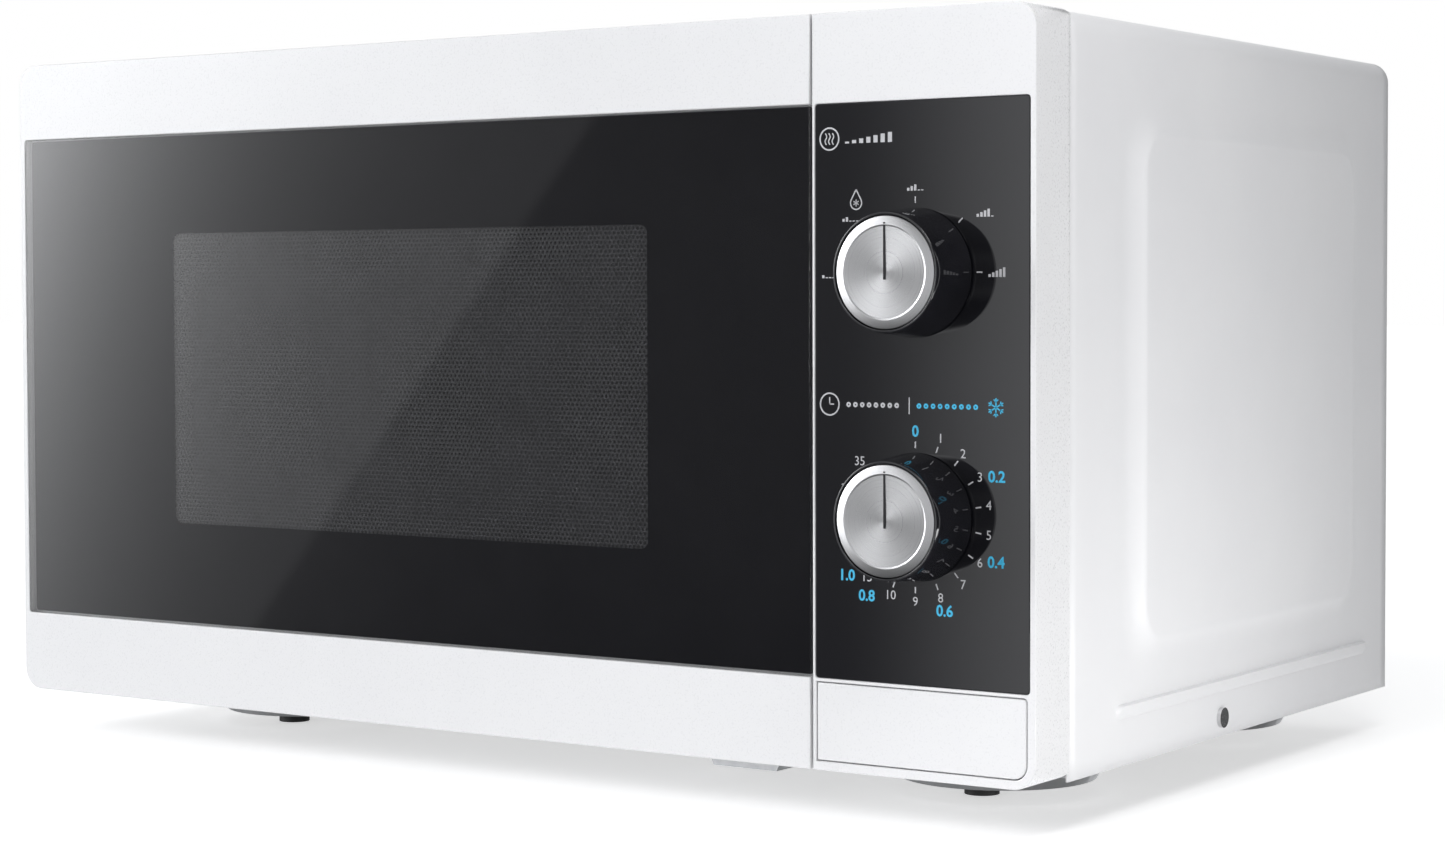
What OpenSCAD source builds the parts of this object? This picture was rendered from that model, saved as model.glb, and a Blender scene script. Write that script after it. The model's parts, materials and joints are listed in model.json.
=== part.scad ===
// Countertop microwave oven with a side-hinged door, two dials and a push button.
// +X is to the right, +Y to the back and +Z up. The origin is on the ground, in the middle of the
// box round the whole oven.

/* [Overall size] */
// Width across the embossed sides
body_w = 440; // [420:5:480]
// Depth from the dial faces to the back of the rear bump
body_d = 344; // [330:2:380]
// Height from the ground to the top of the cover
body_h = 258; // [250:2:300]
// Height of the underside of the door above the ground
lift_h = 18; // [16:1:22]

/* [Front] */
// How far the dials stand out of the glass
dial_proud = 19; // [14:1:22]
// Depth of the door and of the control panel
front_t = 27; // [26:0.5:30]
// Radius of the outer corners, seen from the front
corner_r = 8; // [5:0.5:12]
// Width of the control panel
panel_w = 79.7; // [78:0.1:84]
// Gap between the door and the control panel
door_gap = 1; // [0.8:0.1:2]
// Height of the white band under the glass
band_low = 29.5; // [26:0.5:34]
// Height of the white band over the glass
band_high = 28.5; // [24:0.5:34]
// Thickness of the door glass
glass_t = 3.2; // [2.5:0.1:4]

/* [Dials] */
// Radius of a dial at the glass
dial_r = 20.2; // [16:0.2:24]
// Height of the power dial above the ground
power_z = 176; // [170:1:184]
// Height of the timer dial above the ground
timer_z = 100; // [94:1:106]
// Radius of the dial shafts
shaft_r = 3; // [2.5:0.1:4]

/* [Housing] */
// How far the raised field stands out of each side
emboss_h = 3; // [1:0.5:4]
// Thickness of the painted steel cover
sheet_t = 0.8; // [0.6:0.1:1.2]
// Depth of the bump in the rear panel
bump_d = 30; // [10:1:34]

/* [Oven] */
// Inner width of the oven
oven_w = 306; // [290:2:310]
// Inner height of the oven
oven_h = 204; // [190:2:206]
// Height of the oven floor above the ground
floor_z = 37; // [36:0.5:40]
// Radius of the glass tray
tray_r = 122.5; // [110:0.5:127]

/* [Push button] */
// How far the button travels
button_travel = 4; // [3:0.5:4]

/* [Hidden] */
$fn = 64;
e = 0.01; // how far a cutter passes through a face
fit = 0.05; // radial clearance of a shaft that turns

// Front and back planes
x_side = body_w / 2;
y_face = -body_d / 2 + dial_proud;
y_door = y_face + front_t; // back of the door
y_plate = y_door + 0.5; // front of the front plate
plate_t = 1;
y_in = y_plate + plate_t;
y_bump = body_d / 2;
y_rear = y_bump - bump_d;
x_wrap = x_side - emboss_h;
wrap_low = lift_h - 1;

// Door and control panel
x_panel = x_side - panel_w;
x_door = x_panel - door_gap;
glass_low = lift_h + band_low;
glass_high = body_h - band_high;
x_dial = x_panel + 37.7;
hinge_x = -x_side + 11;
hinge_y = y_door - 13.2;
hinge_r = 2.5;
hinge_low = 26;
hinge_high = body_h - 10;

// Oven
oven_x0 = -40 - oven_w / 2;
oven_x1 = -40 + oven_w / 2;
oven_top = floor_z + oven_h;
oven_back = y_bump - 3.5;
oven_t = 0.7;
turn_x = -40;
turn_y = (y_in + oven_back) / 2;

// Turntable
roller_r = 7;
roller_z = floor_z + roller_r + 0.3;
roller_ring_r = 92;
tray_z = roller_z + roller_r + 0.3;

// Latch
hook_x0 = 121;
hook_x1 = 129;
hook_low = 50;
hook_high = 205;
slot_room = 6; // free width beside each hook in the front plate
lever_y = y_in + 10.5;
lever_z = 48;
button_z = 33;

// ---- Shapes that are used again and again ----

// A box between two corners
module block(x, y, z) {
    translate([x[0], y[0], z[0]]) cube([x[1] - x[0], y[1] - y[0], z[1] - z[0]]);
}

// A flat outline in X and Z, made t thick from y0 backwards
module along_y(y0, t) {
    translate([0, y0 + t, 0]) rotate([90, 0, 0]) linear_extrude(t) children();
}

// A flat outline in Y and Z, made t thick from x0 to the right
module along_x(x0, t) {
    translate([x0, 0, 0]) rotate([90, 0, 90]) linear_extrude(t) children();
}

// Round rods along each axis
module rod_x(x, y, z, r) {
    translate([x[0], y, z]) rotate([0, 90, 0]) cylinder(r = r, h = x[1] - x[0]);
}

module rod_y(x, y, z, r) {
    translate([x, y[0], z]) rotate([-90, 0, 0]) cylinder(r = r, h = y[1] - y[0]);
}

module rod_z(x, y, z, r) {
    translate([x, y, z[0]]) cylinder(r = r, h = z[1] - z[0]);
}

// A rectangle between two corners with round corners
module round_rect(x, y, r) {
    translate([x[0] + r, y[0]]) square([x[1] - x[0] - 2 * r, y[1] - y[0]]);
    translate([x[0], y[0] + r]) square([x[1] - x[0], y[1] - y[0] - 2 * r]);
    for (cx = [x[0] + r, x[1] - r], cy = [y[0] + r, y[1] - r]) translate([cx, cy]) circle(r);
}

// A machine screw with its head towards +Y, ending in a plain shank
module screw_y(x, y, z, head_r = 3.5, shank = 4) {
    rod_y(x, [y, y + 1.8], z, head_r);
    rod_y(x, [y - shank, y + e], z, 1.5);
}

// ---- Housing ----

// The outline of the cover, seen from the front, set in by s
module wrap_outline(s) {
    half = x_wrap - s;
    top = body_h - s;
    r = corner_r - s;
    translate([-half, wrap_low - e]) square([2 * half, top - r - wrap_low + e]);
    translate([-half + r, top - r - e]) square([2 * half - 2 * r, r + e]);
    for (side = [-1, 1]) translate([side * (half - r), top - r]) circle(r);
}

// The raised field of one side, with sloping edges, set in by s
module raised_field(s) {
    hull() {
        along_x(x_wrap - sheet_t - e, e)
            round_rect([y_door + 38 + s, y_rear - 29 - s], [44.5 + s, 233 - s], 24 - s, $fn = 32);
        along_x(x_side - s - e, e)
            round_rect([y_door + 51 + s, y_rear - 43 - s], [55 + s, 221.5 - s], 13 - s, $fn = 32);
    }
}

// The long bead pressed in under the raised field
module side_bead(r) {
    x_mid = x_wrap + 0.5;
    bead_y = [y_door + 34, y_rear - 22];
    translate([x_mid, bead_y[0] + 2.3, 34.7]) sphere(r);
    translate([x_mid, bead_y[1] - 2.3, 34.7]) sphere(r);
    translate([x_mid, bead_y[0] + 2.3, 34.7]) rotate([-90, 0, 0])
        cylinder(r = r, h = bead_y[1] - bead_y[0] - 4.6);
}

module wrap_cover() {
    y0 = y_door + 0.3;
    color("whitesmoke") difference() {
        union() {
            difference() {
                along_y(y0, y_rear - y0) wrap_outline(0);
                along_y(y0 - e, y_rear - y0 + 2 * e) wrap_outline(sheet_t);
            }
            for (side = [0, 1]) mirror([side, 0, 0]) {
                raised_field(0);
                intersection() {
                    side_bead(2.3 + sheet_t);
                    block([x_wrap - 6, x_wrap - sheet_t / 2], [y_door, y_rear], [wrap_low, 60]);
                }
            }
        }
        for (side = [0, 1]) mirror([side, 0, 0]) {
            raised_field(sheet_t);
            side_bead(2.3);
            rod_x([x_wrap - 3, x_wrap + 1], y_door + 115, 23.5, 1.7);
        }
    }
}

// A round stamping in the base that carries one foot
module foot_dish(x, y, r, s) {
    translate([x, y, 5 + s]) cylinder(r1 = r - s, r2 = r + 7 - s, h = lift_h - 5 - s + e);
}

foot_places = [[-156, y_door + 67], [156, y_door + 67], [-156, y_rear - 44], [156, y_rear - 44]];
foot_shift = 11; // each foot sits this far in front of its stamping's centre

// A shallow rib pressed down in the base behind the door's free corner
module base_rib(s) {
    y0 = y_in + 23.5 + s;
    along_y(y0, 36 - 2 * s)
        polygon([[61 + s, lift_h + e], [67 + s, 6 + s], [93 - s, 6 + s], [99 - s, lift_h + e]]);
}

module base_plate() {
    half = x_wrap - sheet_t - 0.1;
    color("silver") difference() {
        union() {
            block([-half, half], [y_in, y_rear - 1], [lift_h, lift_h + sheet_t]);
            for (p = foot_places) foot_dish(p[0], p[1], 34, 0);
            base_rib(0);
            translate([turn_x, turn_y, 9]) cylinder(r1 = 30, r2 = 36, h = lift_h - 9 + e);
        }
        for (p = foot_places) {
            translate([0, 0, e]) foot_dish(p[0], p[1], 34, sheet_t);
            foot_dish(p[0], p[1], 34, sheet_t);
            translate([p[0], p[1], 17]) cylinder(r = 39.5, h = 3);
            rod_z(p[0], p[1] - foot_shift, [4, 7], 2.6);
        }
        translate([turn_x, turn_y, 9 + sheet_t]) cylinder(r1 = 29.4, r2 = 35.4, h = 12);
        base_rib(sheet_t);
        block([61 + sheet_t, 99 - sheet_t], [y_in + 24.3, y_in + 58.7], [lift_h - e, lift_h + 1]);
        for (k = [0 : 5]) block([40 + 10 * k, 44 + 10 * k], [y_door + 190, y_door + 230], [17, 20]);
    }
}

module foot_pads() {
    color("black") for (p = foot_places) {
        rod_z(p[0], p[1] - foot_shift, [0, 5], 6);
        rod_z(p[0], p[1] - foot_shift, [4.9, 7.5], 2.5);
        translate([p[0], p[1] - foot_shift, 5.8]) cylinder(r1 = 3.6, r2 = 2.5, h = 2.4);
    }
}

// The box that is pressed out of the rear panel, set in by s and starting at y0
module rear_bump(s, y0) {
    hull() {
        along_y(y0, e)
            round_rect([oven_x0 - 12 + s, oven_x1 + 12 - s], [floor_z - 12 + s, oven_top + 10 - s], 18,
                $fn = 32);
        along_y(y_bump - s - e, e)
            round_rect([oven_x0 - 5 + s, oven_x1 + 5 - s], [floor_z - 5 + s, oven_top + 5 - s], 9,
                $fn = 32);
    }
}

rear_screw_x = [5 - x_wrap + 0.5, x_wrap - 11];

module rear_panel() {
    half = x_wrap - sheet_t - 0.1;
    y0 = y_rear - sheet_t;
    color("lightgray") difference() {
        union() {
            along_y(y0, sheet_t)
                round_rect([-half, half], [lift_h + 1, body_h - sheet_t - 0.1], corner_r - sheet_t);
            rear_bump(0, y0);
        }
        rear_bump(sheet_t, y0 - e);
        // Slots that let the cooling air in behind the fan
        for (k = [0 : 9]) along_y(y0 - e, 2)
            round_rect([131, 199], [111 + 8.4 * k, 115 + 8.4 * k], 1.9);
        // Slots that let the warm air out beside the oven
        for (k = [0 : 7]) along_y(y0 - e, 2)
            round_rect([138, 192], [213.5 + 4.6 * k, 215.9 + 4.6 * k], 1.1);
        rod_y(186, [y0 - 1, y_rear + 1], 46, 7);
        for (x = rear_screw_x, z = [60, 225]) rod_y(x, [y0 - 1, y_rear + 1], z, 1.6);
    }
}

module cover_screws() {
    color("silver") {
        for (x = rear_screw_x, z = [60, 225]) screw_y(x, y_rear, z);
        for (side = [0, 1]) mirror([side, 0, 0]) {
            rod_x([x_wrap, x_wrap + 1.4], y_door + 115, 23.5, 3.5);
            rod_x([x_wrap - 5, x_wrap + e], y_door + 115, 23.5, 1.5);
        }
    }
}

module cord_bush() {
    color("black") difference() {
        union() {
            rod_y(186, [y_rear, y_rear + 4], 46, 9.5);
            rod_y(186, [y_rear - 9, y_rear + e], 46, 6.9);
            rod_y(186, [y_rear - 9, y_rear - 2], 46, 8.2);
        }
        rod_y(186, [y_rear - 10, y_rear + 5], 46, 4);
    }
}

// ---- Oven ----

module front_plate() {
    half = x_wrap - sheet_t - 0.1;
    color("silver") difference() {
        along_y(y_plate, plate_t)
            round_rect([-half, half], [lift_h + 1, body_h - sheet_t - 0.1], corner_r - sheet_t);
        block([oven_x0, oven_x1], [y_plate - 1, y_in + 1], [floor_z, oven_top]);
        block([146, 210], [y_plate - 1, y_in + 1], [22, 236]);
        for (z = [hook_low, hook_high])
            block([hook_x0 - slot_room, hook_x1 + slot_room], [y_plate - 1, y_in + 1], [z - 7, z + 17]);
        for (z = [hinge_low, hinge_high - 2])
            block([hinge_x - 4, hinge_x + 4], [y_plate - 1, y_in + 1], [z - 0.5, z + 2.5]);
    }
}

module cavity_box() {
    x = [oven_x0, oven_x1];
    color("gainsboro") difference() {
        block([x[0] - oven_t, x[1] + oven_t], [y_in, oven_back + oven_t],
            [floor_z - oven_t, oven_top + oven_t]);
        block(x, [y_in - 1, oven_back], [floor_z, oven_top]);
        rod_z(turn_x, turn_y, [floor_z - 2, floor_z + 1], 7);
        // Window for the microwaves, behind the mica cover
        block([x[1] - 1, x[1] + 1], [-20, 20], [118, 182]);
        // Hole for the lamp
        rod_x([x[1] - 1, x[1] + 1], 90, 222, 9);
        // Small air holes
        for (k = [0 : 7], m = [0 : 2])
            rod_x([x[1] - 1, x[1] + 1], -70 + 6 * k, 205 + 6 * m, 1.8, $fn = 24);
    }
}

module waveguide() {
    x0 = oven_x1 + oven_t;
    color("silver") difference() {
        block([x0, x0 + 20], [-26, 64], [108, 226]);
        block([x0 - 1, x0 + 19.2], [-25.2, 63.2], [108.8, 225.2]);
        rod_x([x0 + 18, x0 + 21], 20, 190, 13);
    }
}

module mica_cover() {
    x1 = oven_x1;
    color("burlywood") along_x(x1 - 0.6, 0.6) round_rect([-25, 25], [113, 187], 4);
}

// ---- Microwave supply ----

tube_x = oven_x1 + oven_t + 20;

module magnetron_yoke() {
    color("silver") difference() {
        block([tube_x, tube_x + 52], [-22, 62], [160, 220]);
        block([tube_x + 1.5, tube_x + 50.5], [-23, 63], [161.5, 218.5]);
        rod_x([tube_x - 1, tube_x + 3], 20, 190, 12.5);
        rod_x([tube_x + 49, tube_x + 53], 20, 190, 12.5);
    }
}

module magnetron_tube() {
    color("sienna") {
        rod_x([tube_x - 14, tube_x - 4], 20, 190, 8);
        rod_x([tube_x - 4, tube_x + 4], 20, 190, 12);
        rod_x([tube_x + 4, tube_x + 48], 20, 190, 20);
        rod_x([tube_x + 48, tube_x + 56], 20, 190, 12);
    }
}

module magnetron_fins() {
    color("lightgray") difference() {
        for (k = [0 : 5]) along_x(tube_x + 8 + 6.6 * k, 0.8)
            round_rect([-19, 59], [161.5, 218.5], 3);
        rod_x([tube_x, tube_x + 50], 20, 190, 20.01);
    }
}

module magnetron_filter_box() {
    color("silver") difference() {
        block([tube_x + 52, tube_x + 80], [-4, 44], [166, 214]);
        block([tube_x + 51, tube_x + 79.2], [-3.2, 43.2], [166.8, 213.2]);
    }
}

core_x = 166;
core_y = 38;

module transformer_core() {
    z0 = lift_h + sheet_t;
    color("dimgray") difference() {
        block([core_x - 44, core_x + 44], [core_y - 32, core_y + 32], [z0, z0 + 74]);
        for (side = [-1, 1]) translate([core_x + side * 22.5, core_y, z0 + 37])
            cube([15, 70, 50], center = true);
    }
}

// One winding round the centre limb of the core
module winding(z) {
    difference() {
        block([core_x - 29, core_x + 29], [core_y - 46, core_y + 46], z);
        block([core_x - 15.3, core_x + 15.3], [core_y - 32.3, core_y + 32.3], [z[0] - 1, z[1] + 1]);
    }
}

module transformer_windings() {
    z0 = lift_h + sheet_t;
    color("peru") {
        winding([z0 + 13, z0 + 34]);
        winding([z0 + 38, z0 + 61]);
    }
}

module hv_capacitor() {
    z0 = lift_h + sheet_t;
    color("lightsteelblue") {
        translate([0, 0, z0]) linear_extrude(88) round_rect([150, 204], [-64, -30], 16);
        for (x = [166, 188]) rod_z(x, -47, [z0 + 88, z0 + 98], 3);
    }
}

module hv_diode() {
    color("black") {
        rod_y(134, [-40, -22], lift_h + sheet_t + 6, 4);
        rod_y(134, [-54, -8], lift_h + sheet_t + 6, 0.8);
        block([128, 140], [-20, -19], [lift_h + sheet_t, lift_h + sheet_t + 4]);
    }
}

// ---- Cooling fan ----

fan_x = 165;
fan_z = 151;

module fan_shroud() {
    y0 = y_rear - sheet_t - 24;
    color("darkgray") {
        difference() {
            along_y(y0, 24) round_rect([fan_x - 49, fan_x + 49], [fan_z - 49, fan_z + 49], 5);
            rod_y(fan_x, [y0 - 1, y0 + 25], fan_z, 47);
        }
        // Arms that hold the motor
        for (side = [-1, 1]) translate([fan_x + side * 40, y0 - 4.5, fan_z])
            cube([18, 11, 12], center = true);
    }
}

module fan_motor() {
    y0 = y_rear - sheet_t - 38;
    color("steelblue") difference() {
        union() {
            block([fan_x - 31, fan_x + 31], [y0 - 14, y0 + 8], [fan_z - 16, fan_z + 16]);
            block([fan_x - 14, fan_x + 14], [y0 - 24, y0 + 8], [fan_z - 34, fan_z - 16]);
            rod_y(fan_x, [y0 - 26, y0 + 14], fan_z, 9);
        }
        rod_y(fan_x, [y0 - 18, y0 + 15], fan_z, 2 + fit);
    }
}

module fan_shaft() {
    y0 = y_rear - sheet_t - 38;
    color("silver") rod_y(fan_x, [y0 - 17, y0 + 28.8], fan_z, 2);
}

module fan_blade() {
    y0 = y_rear - sheet_t - 22;
    color("white") difference() {
        union() {
            rod_y(fan_x, [y0, y0 + 16], fan_z, 13);
            for (k = [0 : 4]) translate([fan_x, y0 + 8, fan_z]) rotate([0, 72 * k, 0])
                translate([28, 0, 0]) rotate([32, 0, 0]) cube([34, 1.6, 22], center = true);
        }
        rod_y(fan_x, [y0 - 1, y0 + 13], fan_z, 2);
    }
}

// ---- Small electrical pieces ----

module filter_board() {
    z0 = 232;
    color("darkgreen") {
        block([126, 204], [64, 122], [z0, z0 + 1.6]);
        for (x = [130, 200]) block([x - 3, x + 3], [122, y_rear - sheet_t], [z0 - 4, z0 + 2]);
        difference() {
            rod_z(150, 92, [z0 + 1.6, z0 + 14], 12);
            rod_z(150, 92, [z0 + 1.5, z0 + 15], 6);
        }
        block([172, 190], [98, 112], [z0 + 1.6, z0 + 13]);
        rod_x([170, 192], 78, z0 + 6, 3.2);
        block([172, 175], [76, 80], [z0 + 1.6, z0 + 5]);
        block([187, 190], [76, 80], [z0 + 1.6, z0 + 5]);
    }
}

module thermal_cutout() {
    x0 = oven_x1 + oven_t;
    color("ivory") {
        rod_x([x0, x0 + 7], -60, 150, 9);
        rod_x([x0 + 7, x0 + 10], -60, 150, 5);
    }
}

module lamp_holder() {
    x0 = oven_x1 + oven_t;
    color("ivory") difference() {
        block([x0, x0 + 26], [77, 103], [209, 231.5]);
        rod_x([x0 - 1, x0 + 20], 90, 222, 9);
    }
}

module lamp_bulb() {
    x0 = oven_x1 + oven_t;
    color("lemonchiffon") {
        rod_x([x0 + 5, x0 + 20], 90, 222, 6);
        translate([x0 + 1, 90, 222]) rotate([0, 90, 0]) cylinder(r1 = 3, r2 = 6, h = 4 + e);
    }
}

// ---- Turntable ----

module turntable_motor() {
    z1 = floor_z - oven_t;
    color("silver") difference() {
        union() {
            rod_z(turn_x, turn_y, [z1 - 14.5, z1], 24);
            block([turn_x - 30, turn_x + 30], [turn_y - 5, turn_y + 5], [z1 - 1, z1]);
        }
        rod_z(turn_x, turn_y, [z1 - 12, z1 + 1], 3.5 + fit);
    }
}

module turntable_shaft() {
    color("white") rod_z(turn_x, turn_y, [floor_z - oven_t - 11, floor_z + 10], 3.5);
}

module turntable_coupler() {
    color("white") difference() {
        union() {
            rod_z(turn_x, turn_y, [floor_z + 1, tray_z], 11);
            for (k = [0 : 2]) translate([turn_x, turn_y, tray_z - 7]) rotate([0, 0, 120 * k + 30])
                translate([0, -3, 0]) cube([34, 6, 7]);
        }
        rod_z(turn_x, turn_y, [floor_z, floor_z + 10], 3.5);
    }
}

module glass_tray() {
    color("lightcyan", 0.5) translate([turn_x, turn_y, tray_z]) {
        rotate_extrude($fn = 96) polygon([[0, 0], [tray_r - 19, 0], [tray_r - 13, 1.6],
            [tray_r - 2, 11.4], [tray_r, 14], [tray_r - 1.4, 15.4], [tray_r - 3.6, 14.6],
            [tray_r - 15, 5.4], [tray_r - 20, 4], [0, 4]]);
        for (k = [0 : 2]) rotate([0, 0, 120 * k + 90]) translate([24, 0, -3.5])
            cylinder(r = 5, h = 3.6, $fn = 32);
    }
}

module roller_ring() {
    color("white") translate([turn_x, turn_y, roller_z]) {
        rotate_extrude($fn = 96) translate([roller_ring_r - 11, -3]) square([6, 6]);
        for (k = [0 : 2]) rotate([0, 0, 120 * k]) {
            rod_x([roller_ring_r - 6, roller_ring_r + 5], 0, 0, 1.5);
            rod_x([roller_ring_r + 3.6, roller_ring_r + 5], 0, 0, 3);
        }
    }
}

// One wheel of the roller ring, with its angle round the ring
module roller(angle) {
    color("white") translate([turn_x, turn_y, roller_z]) rotate([0, 0, angle]) difference() {
        rod_x([roller_ring_r - 4.6, roller_ring_r + 3.2], 0, 0, roller_r);
        rod_x([roller_ring_r - 7, roller_ring_r + 5], 0, 0, 1.5 + fit);
    }
}

module roller_a() { roller(0); }
module roller_b() { roller(120); }
module roller_c() { roller(240); }

// ---- Control panel ----

button_x = [x_panel + 1.7, x_side - 3.2];
button_low = lift_h + 3.3;
button_high = glass_low - 1.5;

// The front of the control panel, set in by s
module panel_outline(s) {
    x = [x_panel + s, x_side - s];
    z = [lift_h + s, body_h - s];
    r = corner_r - s;
    translate([x[0], z[0]]) square([x[1] - x[0] - r, z[1] - z[0]]);
    translate([x[0], z[0] + r]) square([x[1] - x[0], z[1] - z[0] - 2 * r]);
    for (cz = [z[0] + r, z[1] - r]) translate([x[1] - r, cz]) circle(r);
}

module control_bezel() {
    color("whitesmoke") difference() {
        intersection() {
            along_y(y_face, front_t) panel_outline(0);
            translate([0, 0, lift_h - 1]) linear_extrude(body_h) polygon([[x_panel, y_face],
                [x_side, y_face], [x_side, y_face + 10], [x_wrap + 0.6, y_door], [x_panel, y_door]]);
        }
        block([x_panel + 2.2, x_wrap - 2.4], [y_face + 4.7, y_door + 1], [lift_h + 2.4, body_h - 2.4]);
        // Recess for the glass
        along_y(y_face - 1, 3.5)
            round_rect([x_panel + 1, x_side - 2], [glass_low, glass_high], 1.2);
        // Opening for the push button
        along_y(y_face - 1, 13) button_outline(0.35);
        for (z = [power_z, timer_z]) rod_y(x_dial, [y_face, y_face + 6], z, 5.6);
    }
}

module control_glass() {
    color("black") difference() {
        along_y(y_face, 2.5)
            round_rect([x_panel + 1.1, x_side - 2.1], [glass_low + 0.1, glass_high - 0.1], 1.1);
        for (z = [power_z, timer_z]) rod_y(x_dial, [y_face - 1, y_face + 3], z, 4.6);
    }
}

// The push button, seen from the front, grown by g
module button_outline(g) {
    x = [button_x[0] - g, button_x[1] + g];
    z = [button_low - g, button_high + g];
    r_big = 4.5 + g;
    r_small = 1 + g;
    difference() {
        translate([x[0], z[0]]) square([x[1] - x[0], z[1] - z[0]]);
        translate([x[1] - r_big, z[0] - 1]) square([r_big + 1, r_big + 1]);
        translate([x[1] - r_small, z[1] - r_small]) square([r_small + 1, r_small + 1]);
    }
    translate([x[1] - r_big, z[0] + r_big]) circle(r_big);
    translate([x[1] - r_small, z[1] - r_small]) circle(r_small);
}

module door_button() {
    tip_y = lever_y - 2 - 1.9;
    color("whitesmoke") {
        difference() {
            along_y(y_face, 7) button_outline(0);
            block([button_x[0] + 1.8, button_x[1] - 5], [y_face + 2, y_face + 8],
                [button_low + 2, button_high - 2]);
        }
        // The stem that pushes the lever
        block([156, 162], [y_face + 2 - e, tip_y], [button_z - 3, button_z + 3]);
        rod_x([156, 162], tip_y, button_z, 1.5);
    }
}

module button_lever() {
    color("ivory") difference() {
        union() {
            rod_x([135, 165], lever_y, lever_z, 4);
            block([155, 163], [lever_y - 2, lever_y + 2], [button_z - 4, lever_z]);
            block([135, 139], [lever_y, lever_y + 11], [lever_z - 1.5, lever_z + 1.5]);
            // The finger that reaches under the lower hook
            rod_x([126, 139], lever_y + 11, lever_z, 1.5);
        }
        rod_x([134, 166], lever_y, lever_z, 2 + fit);
    }
}

module lever_pin() {
    color("silver") rod_x([131.5, 172], lever_y, lever_z, 2);
}

module lever_spring() {
    color("silver") for (k = [0 : 2]) translate([166 + 1.05 * k, lever_y, lever_z]) rotate([0, 90, 0])
        rotate_extrude() translate([3.1, 0]) circle(0.5, $fn = 24);
}

// A gear box with a round nose for its shaft
module shaft_unit(x, y, z, z_dial) {
    difference() {
        union() {
            block(x, y, z);
            rod_y(x_dial, [y_face + 4.7, y[0] + e], z_dial, 8);
        }
        rod_y(x_dial, [y_face + 4, y[0] + 12], z_dial, shaft_r + fit);
    }
}

module timer_unit() {
    color("gainsboro") shaft_unit([150, 206], [y_face + 12, y_face + 62], [72, 128], timer_z);
}

module timer_bell() {
    color("silver") translate([x_dial, y_face + 62, timer_z]) rotate([-90, 0, 0]) {
        cylinder(r = 4, h = 12);
        difference() {
            translate([0, 0, 4]) cylinder(r1 = 19, r2 = 14, h = 9);
            translate([0, 0, 3]) cylinder(r1 = 18, r2 = 12.6, h = 8.5);
        }
    }
}

module power_selector() {
    color("gainsboro") shaft_unit([156, 200], [y_face + 12, y_face + 40], [156, 196], power_z);
}

// ---- Dials ----

// The shaft of one dial, with a flat cut along its front end
module dial_shaft(z) {
    difference() {
        rod_y(x_dial, [y_face - 15, y_face + 22], z, shaft_r);
        block([x_dial - 4, x_dial + 4], [y_face - 16, y_face - 6], [z + 2.2, z + 4]);
    }
}

// The turned body of one dial: a cup with a rim, and a boss inside for the shaft
module dial_body(z) {
    rim_r = dial_r - 1.9;
    translate([x_dial, y_face, z]) rotate([90, 0, 0]) {
        rotate_extrude() polygon([[0, 15], [rim_r - 2.2, 15], [dial_r - 2.6, 0.4], [dial_r - 0.4, 0.4],
            [dial_r, 0.9], [dial_r - 0.5, 6], [rim_r + 0.4, 17.6], [rim_r - 0.2, 18.8],
            [rim_r - 0.7, 18.8], [rim_r - 0.7, 17.2], [0, 17.2]]);
        difference() {
            translate([0, 0, 5]) cylinder(r = 6.5, h = 10 + e);
            translate([0, 0, 4]) cylinder(r = shaft_r, h = 11);
        }
        difference() {
            translate([-shaft_r, 2.2, 6.2]) cube([2 * shaft_r, 2, 8.8 + e]);
            translate([0, 0, 5]) cylinder(r = 2, h = 9.9);
        }
    }
}

// The metal disc in the front of one dial, with a slot as its pointer
module dial_cap(z) {
    cap_r = dial_r - 2.6;
    difference() {
        translate([x_dial, y_face, z]) rotate([90, 0, 0]) rotate_extrude() polygon([[0, 17.2],
            [cap_r, 17.2], [cap_r, 18.6], [cap_r - 0.4, 19], [cap_r - 1, 19], [cap_r - 1.8, 18.5],
            [0, 18.2]]);
        block([x_dial - 0.4, x_dial + 0.4], [y_face - 20, y_face - 17.7], [z - 2.2, z + 15.4]);
    }
}

module power_shaft() { color("silver") dial_shaft(power_z); }
module power_knob() { color("black") dial_body(power_z); }
module power_cap() { color("silver") dial_cap(power_z); }
module timer_shaft() { color("silver") dial_shaft(timer_z); }
module timer_knob() { color("black") dial_body(timer_z); }
module timer_cap() { color("silver") dial_cap(timer_z); }

// ---- Latch ----

module latch_bracket() {
    x0 = oven_x1 + oven_t;
    color("ivory") difference() {
        union() {
            block([x0, x0 + 3], [y_in, y_in + 28], [38, 224]);
            block([x0, 136], [y_in + 26, y_in + 28], [58, 224]);
            block([x0, 172], [y_in + 24, y_in + 28], [38, 58]);
            block([131.5, 172], [y_in, y_in + 2], [40, 56]);
            block([131.5, 134], [y_in + 2 - e, y_in + 15], [43, 53]);
            block([168.8, 172], [y_in + 2 - e, y_in + 24 + e], [43, 53]);
            // Catches that the hooks drop behind
            for (z = [hook_low, hook_high])
                block([x0 + 3 - e, hook_x0 + 3.8], [y_in + 2, y_in + 11], [z - 10, z - 3.9]);
        }
        rod_x([131, 173], lever_y, lever_z, 2);
    }
}

module door_switches() {
    color("dimgray") for (z = [66, 98, 186]) {
        block([118, 128], [y_in + 28, y_in + 44], [z, z + 28]);
        rod_y(123, [y_in + 44, y_in + 50], z + 5, 1);
        rod_y(123, [y_in + 44, y_in + 50], z + 23, 1);
    }
}

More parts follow.
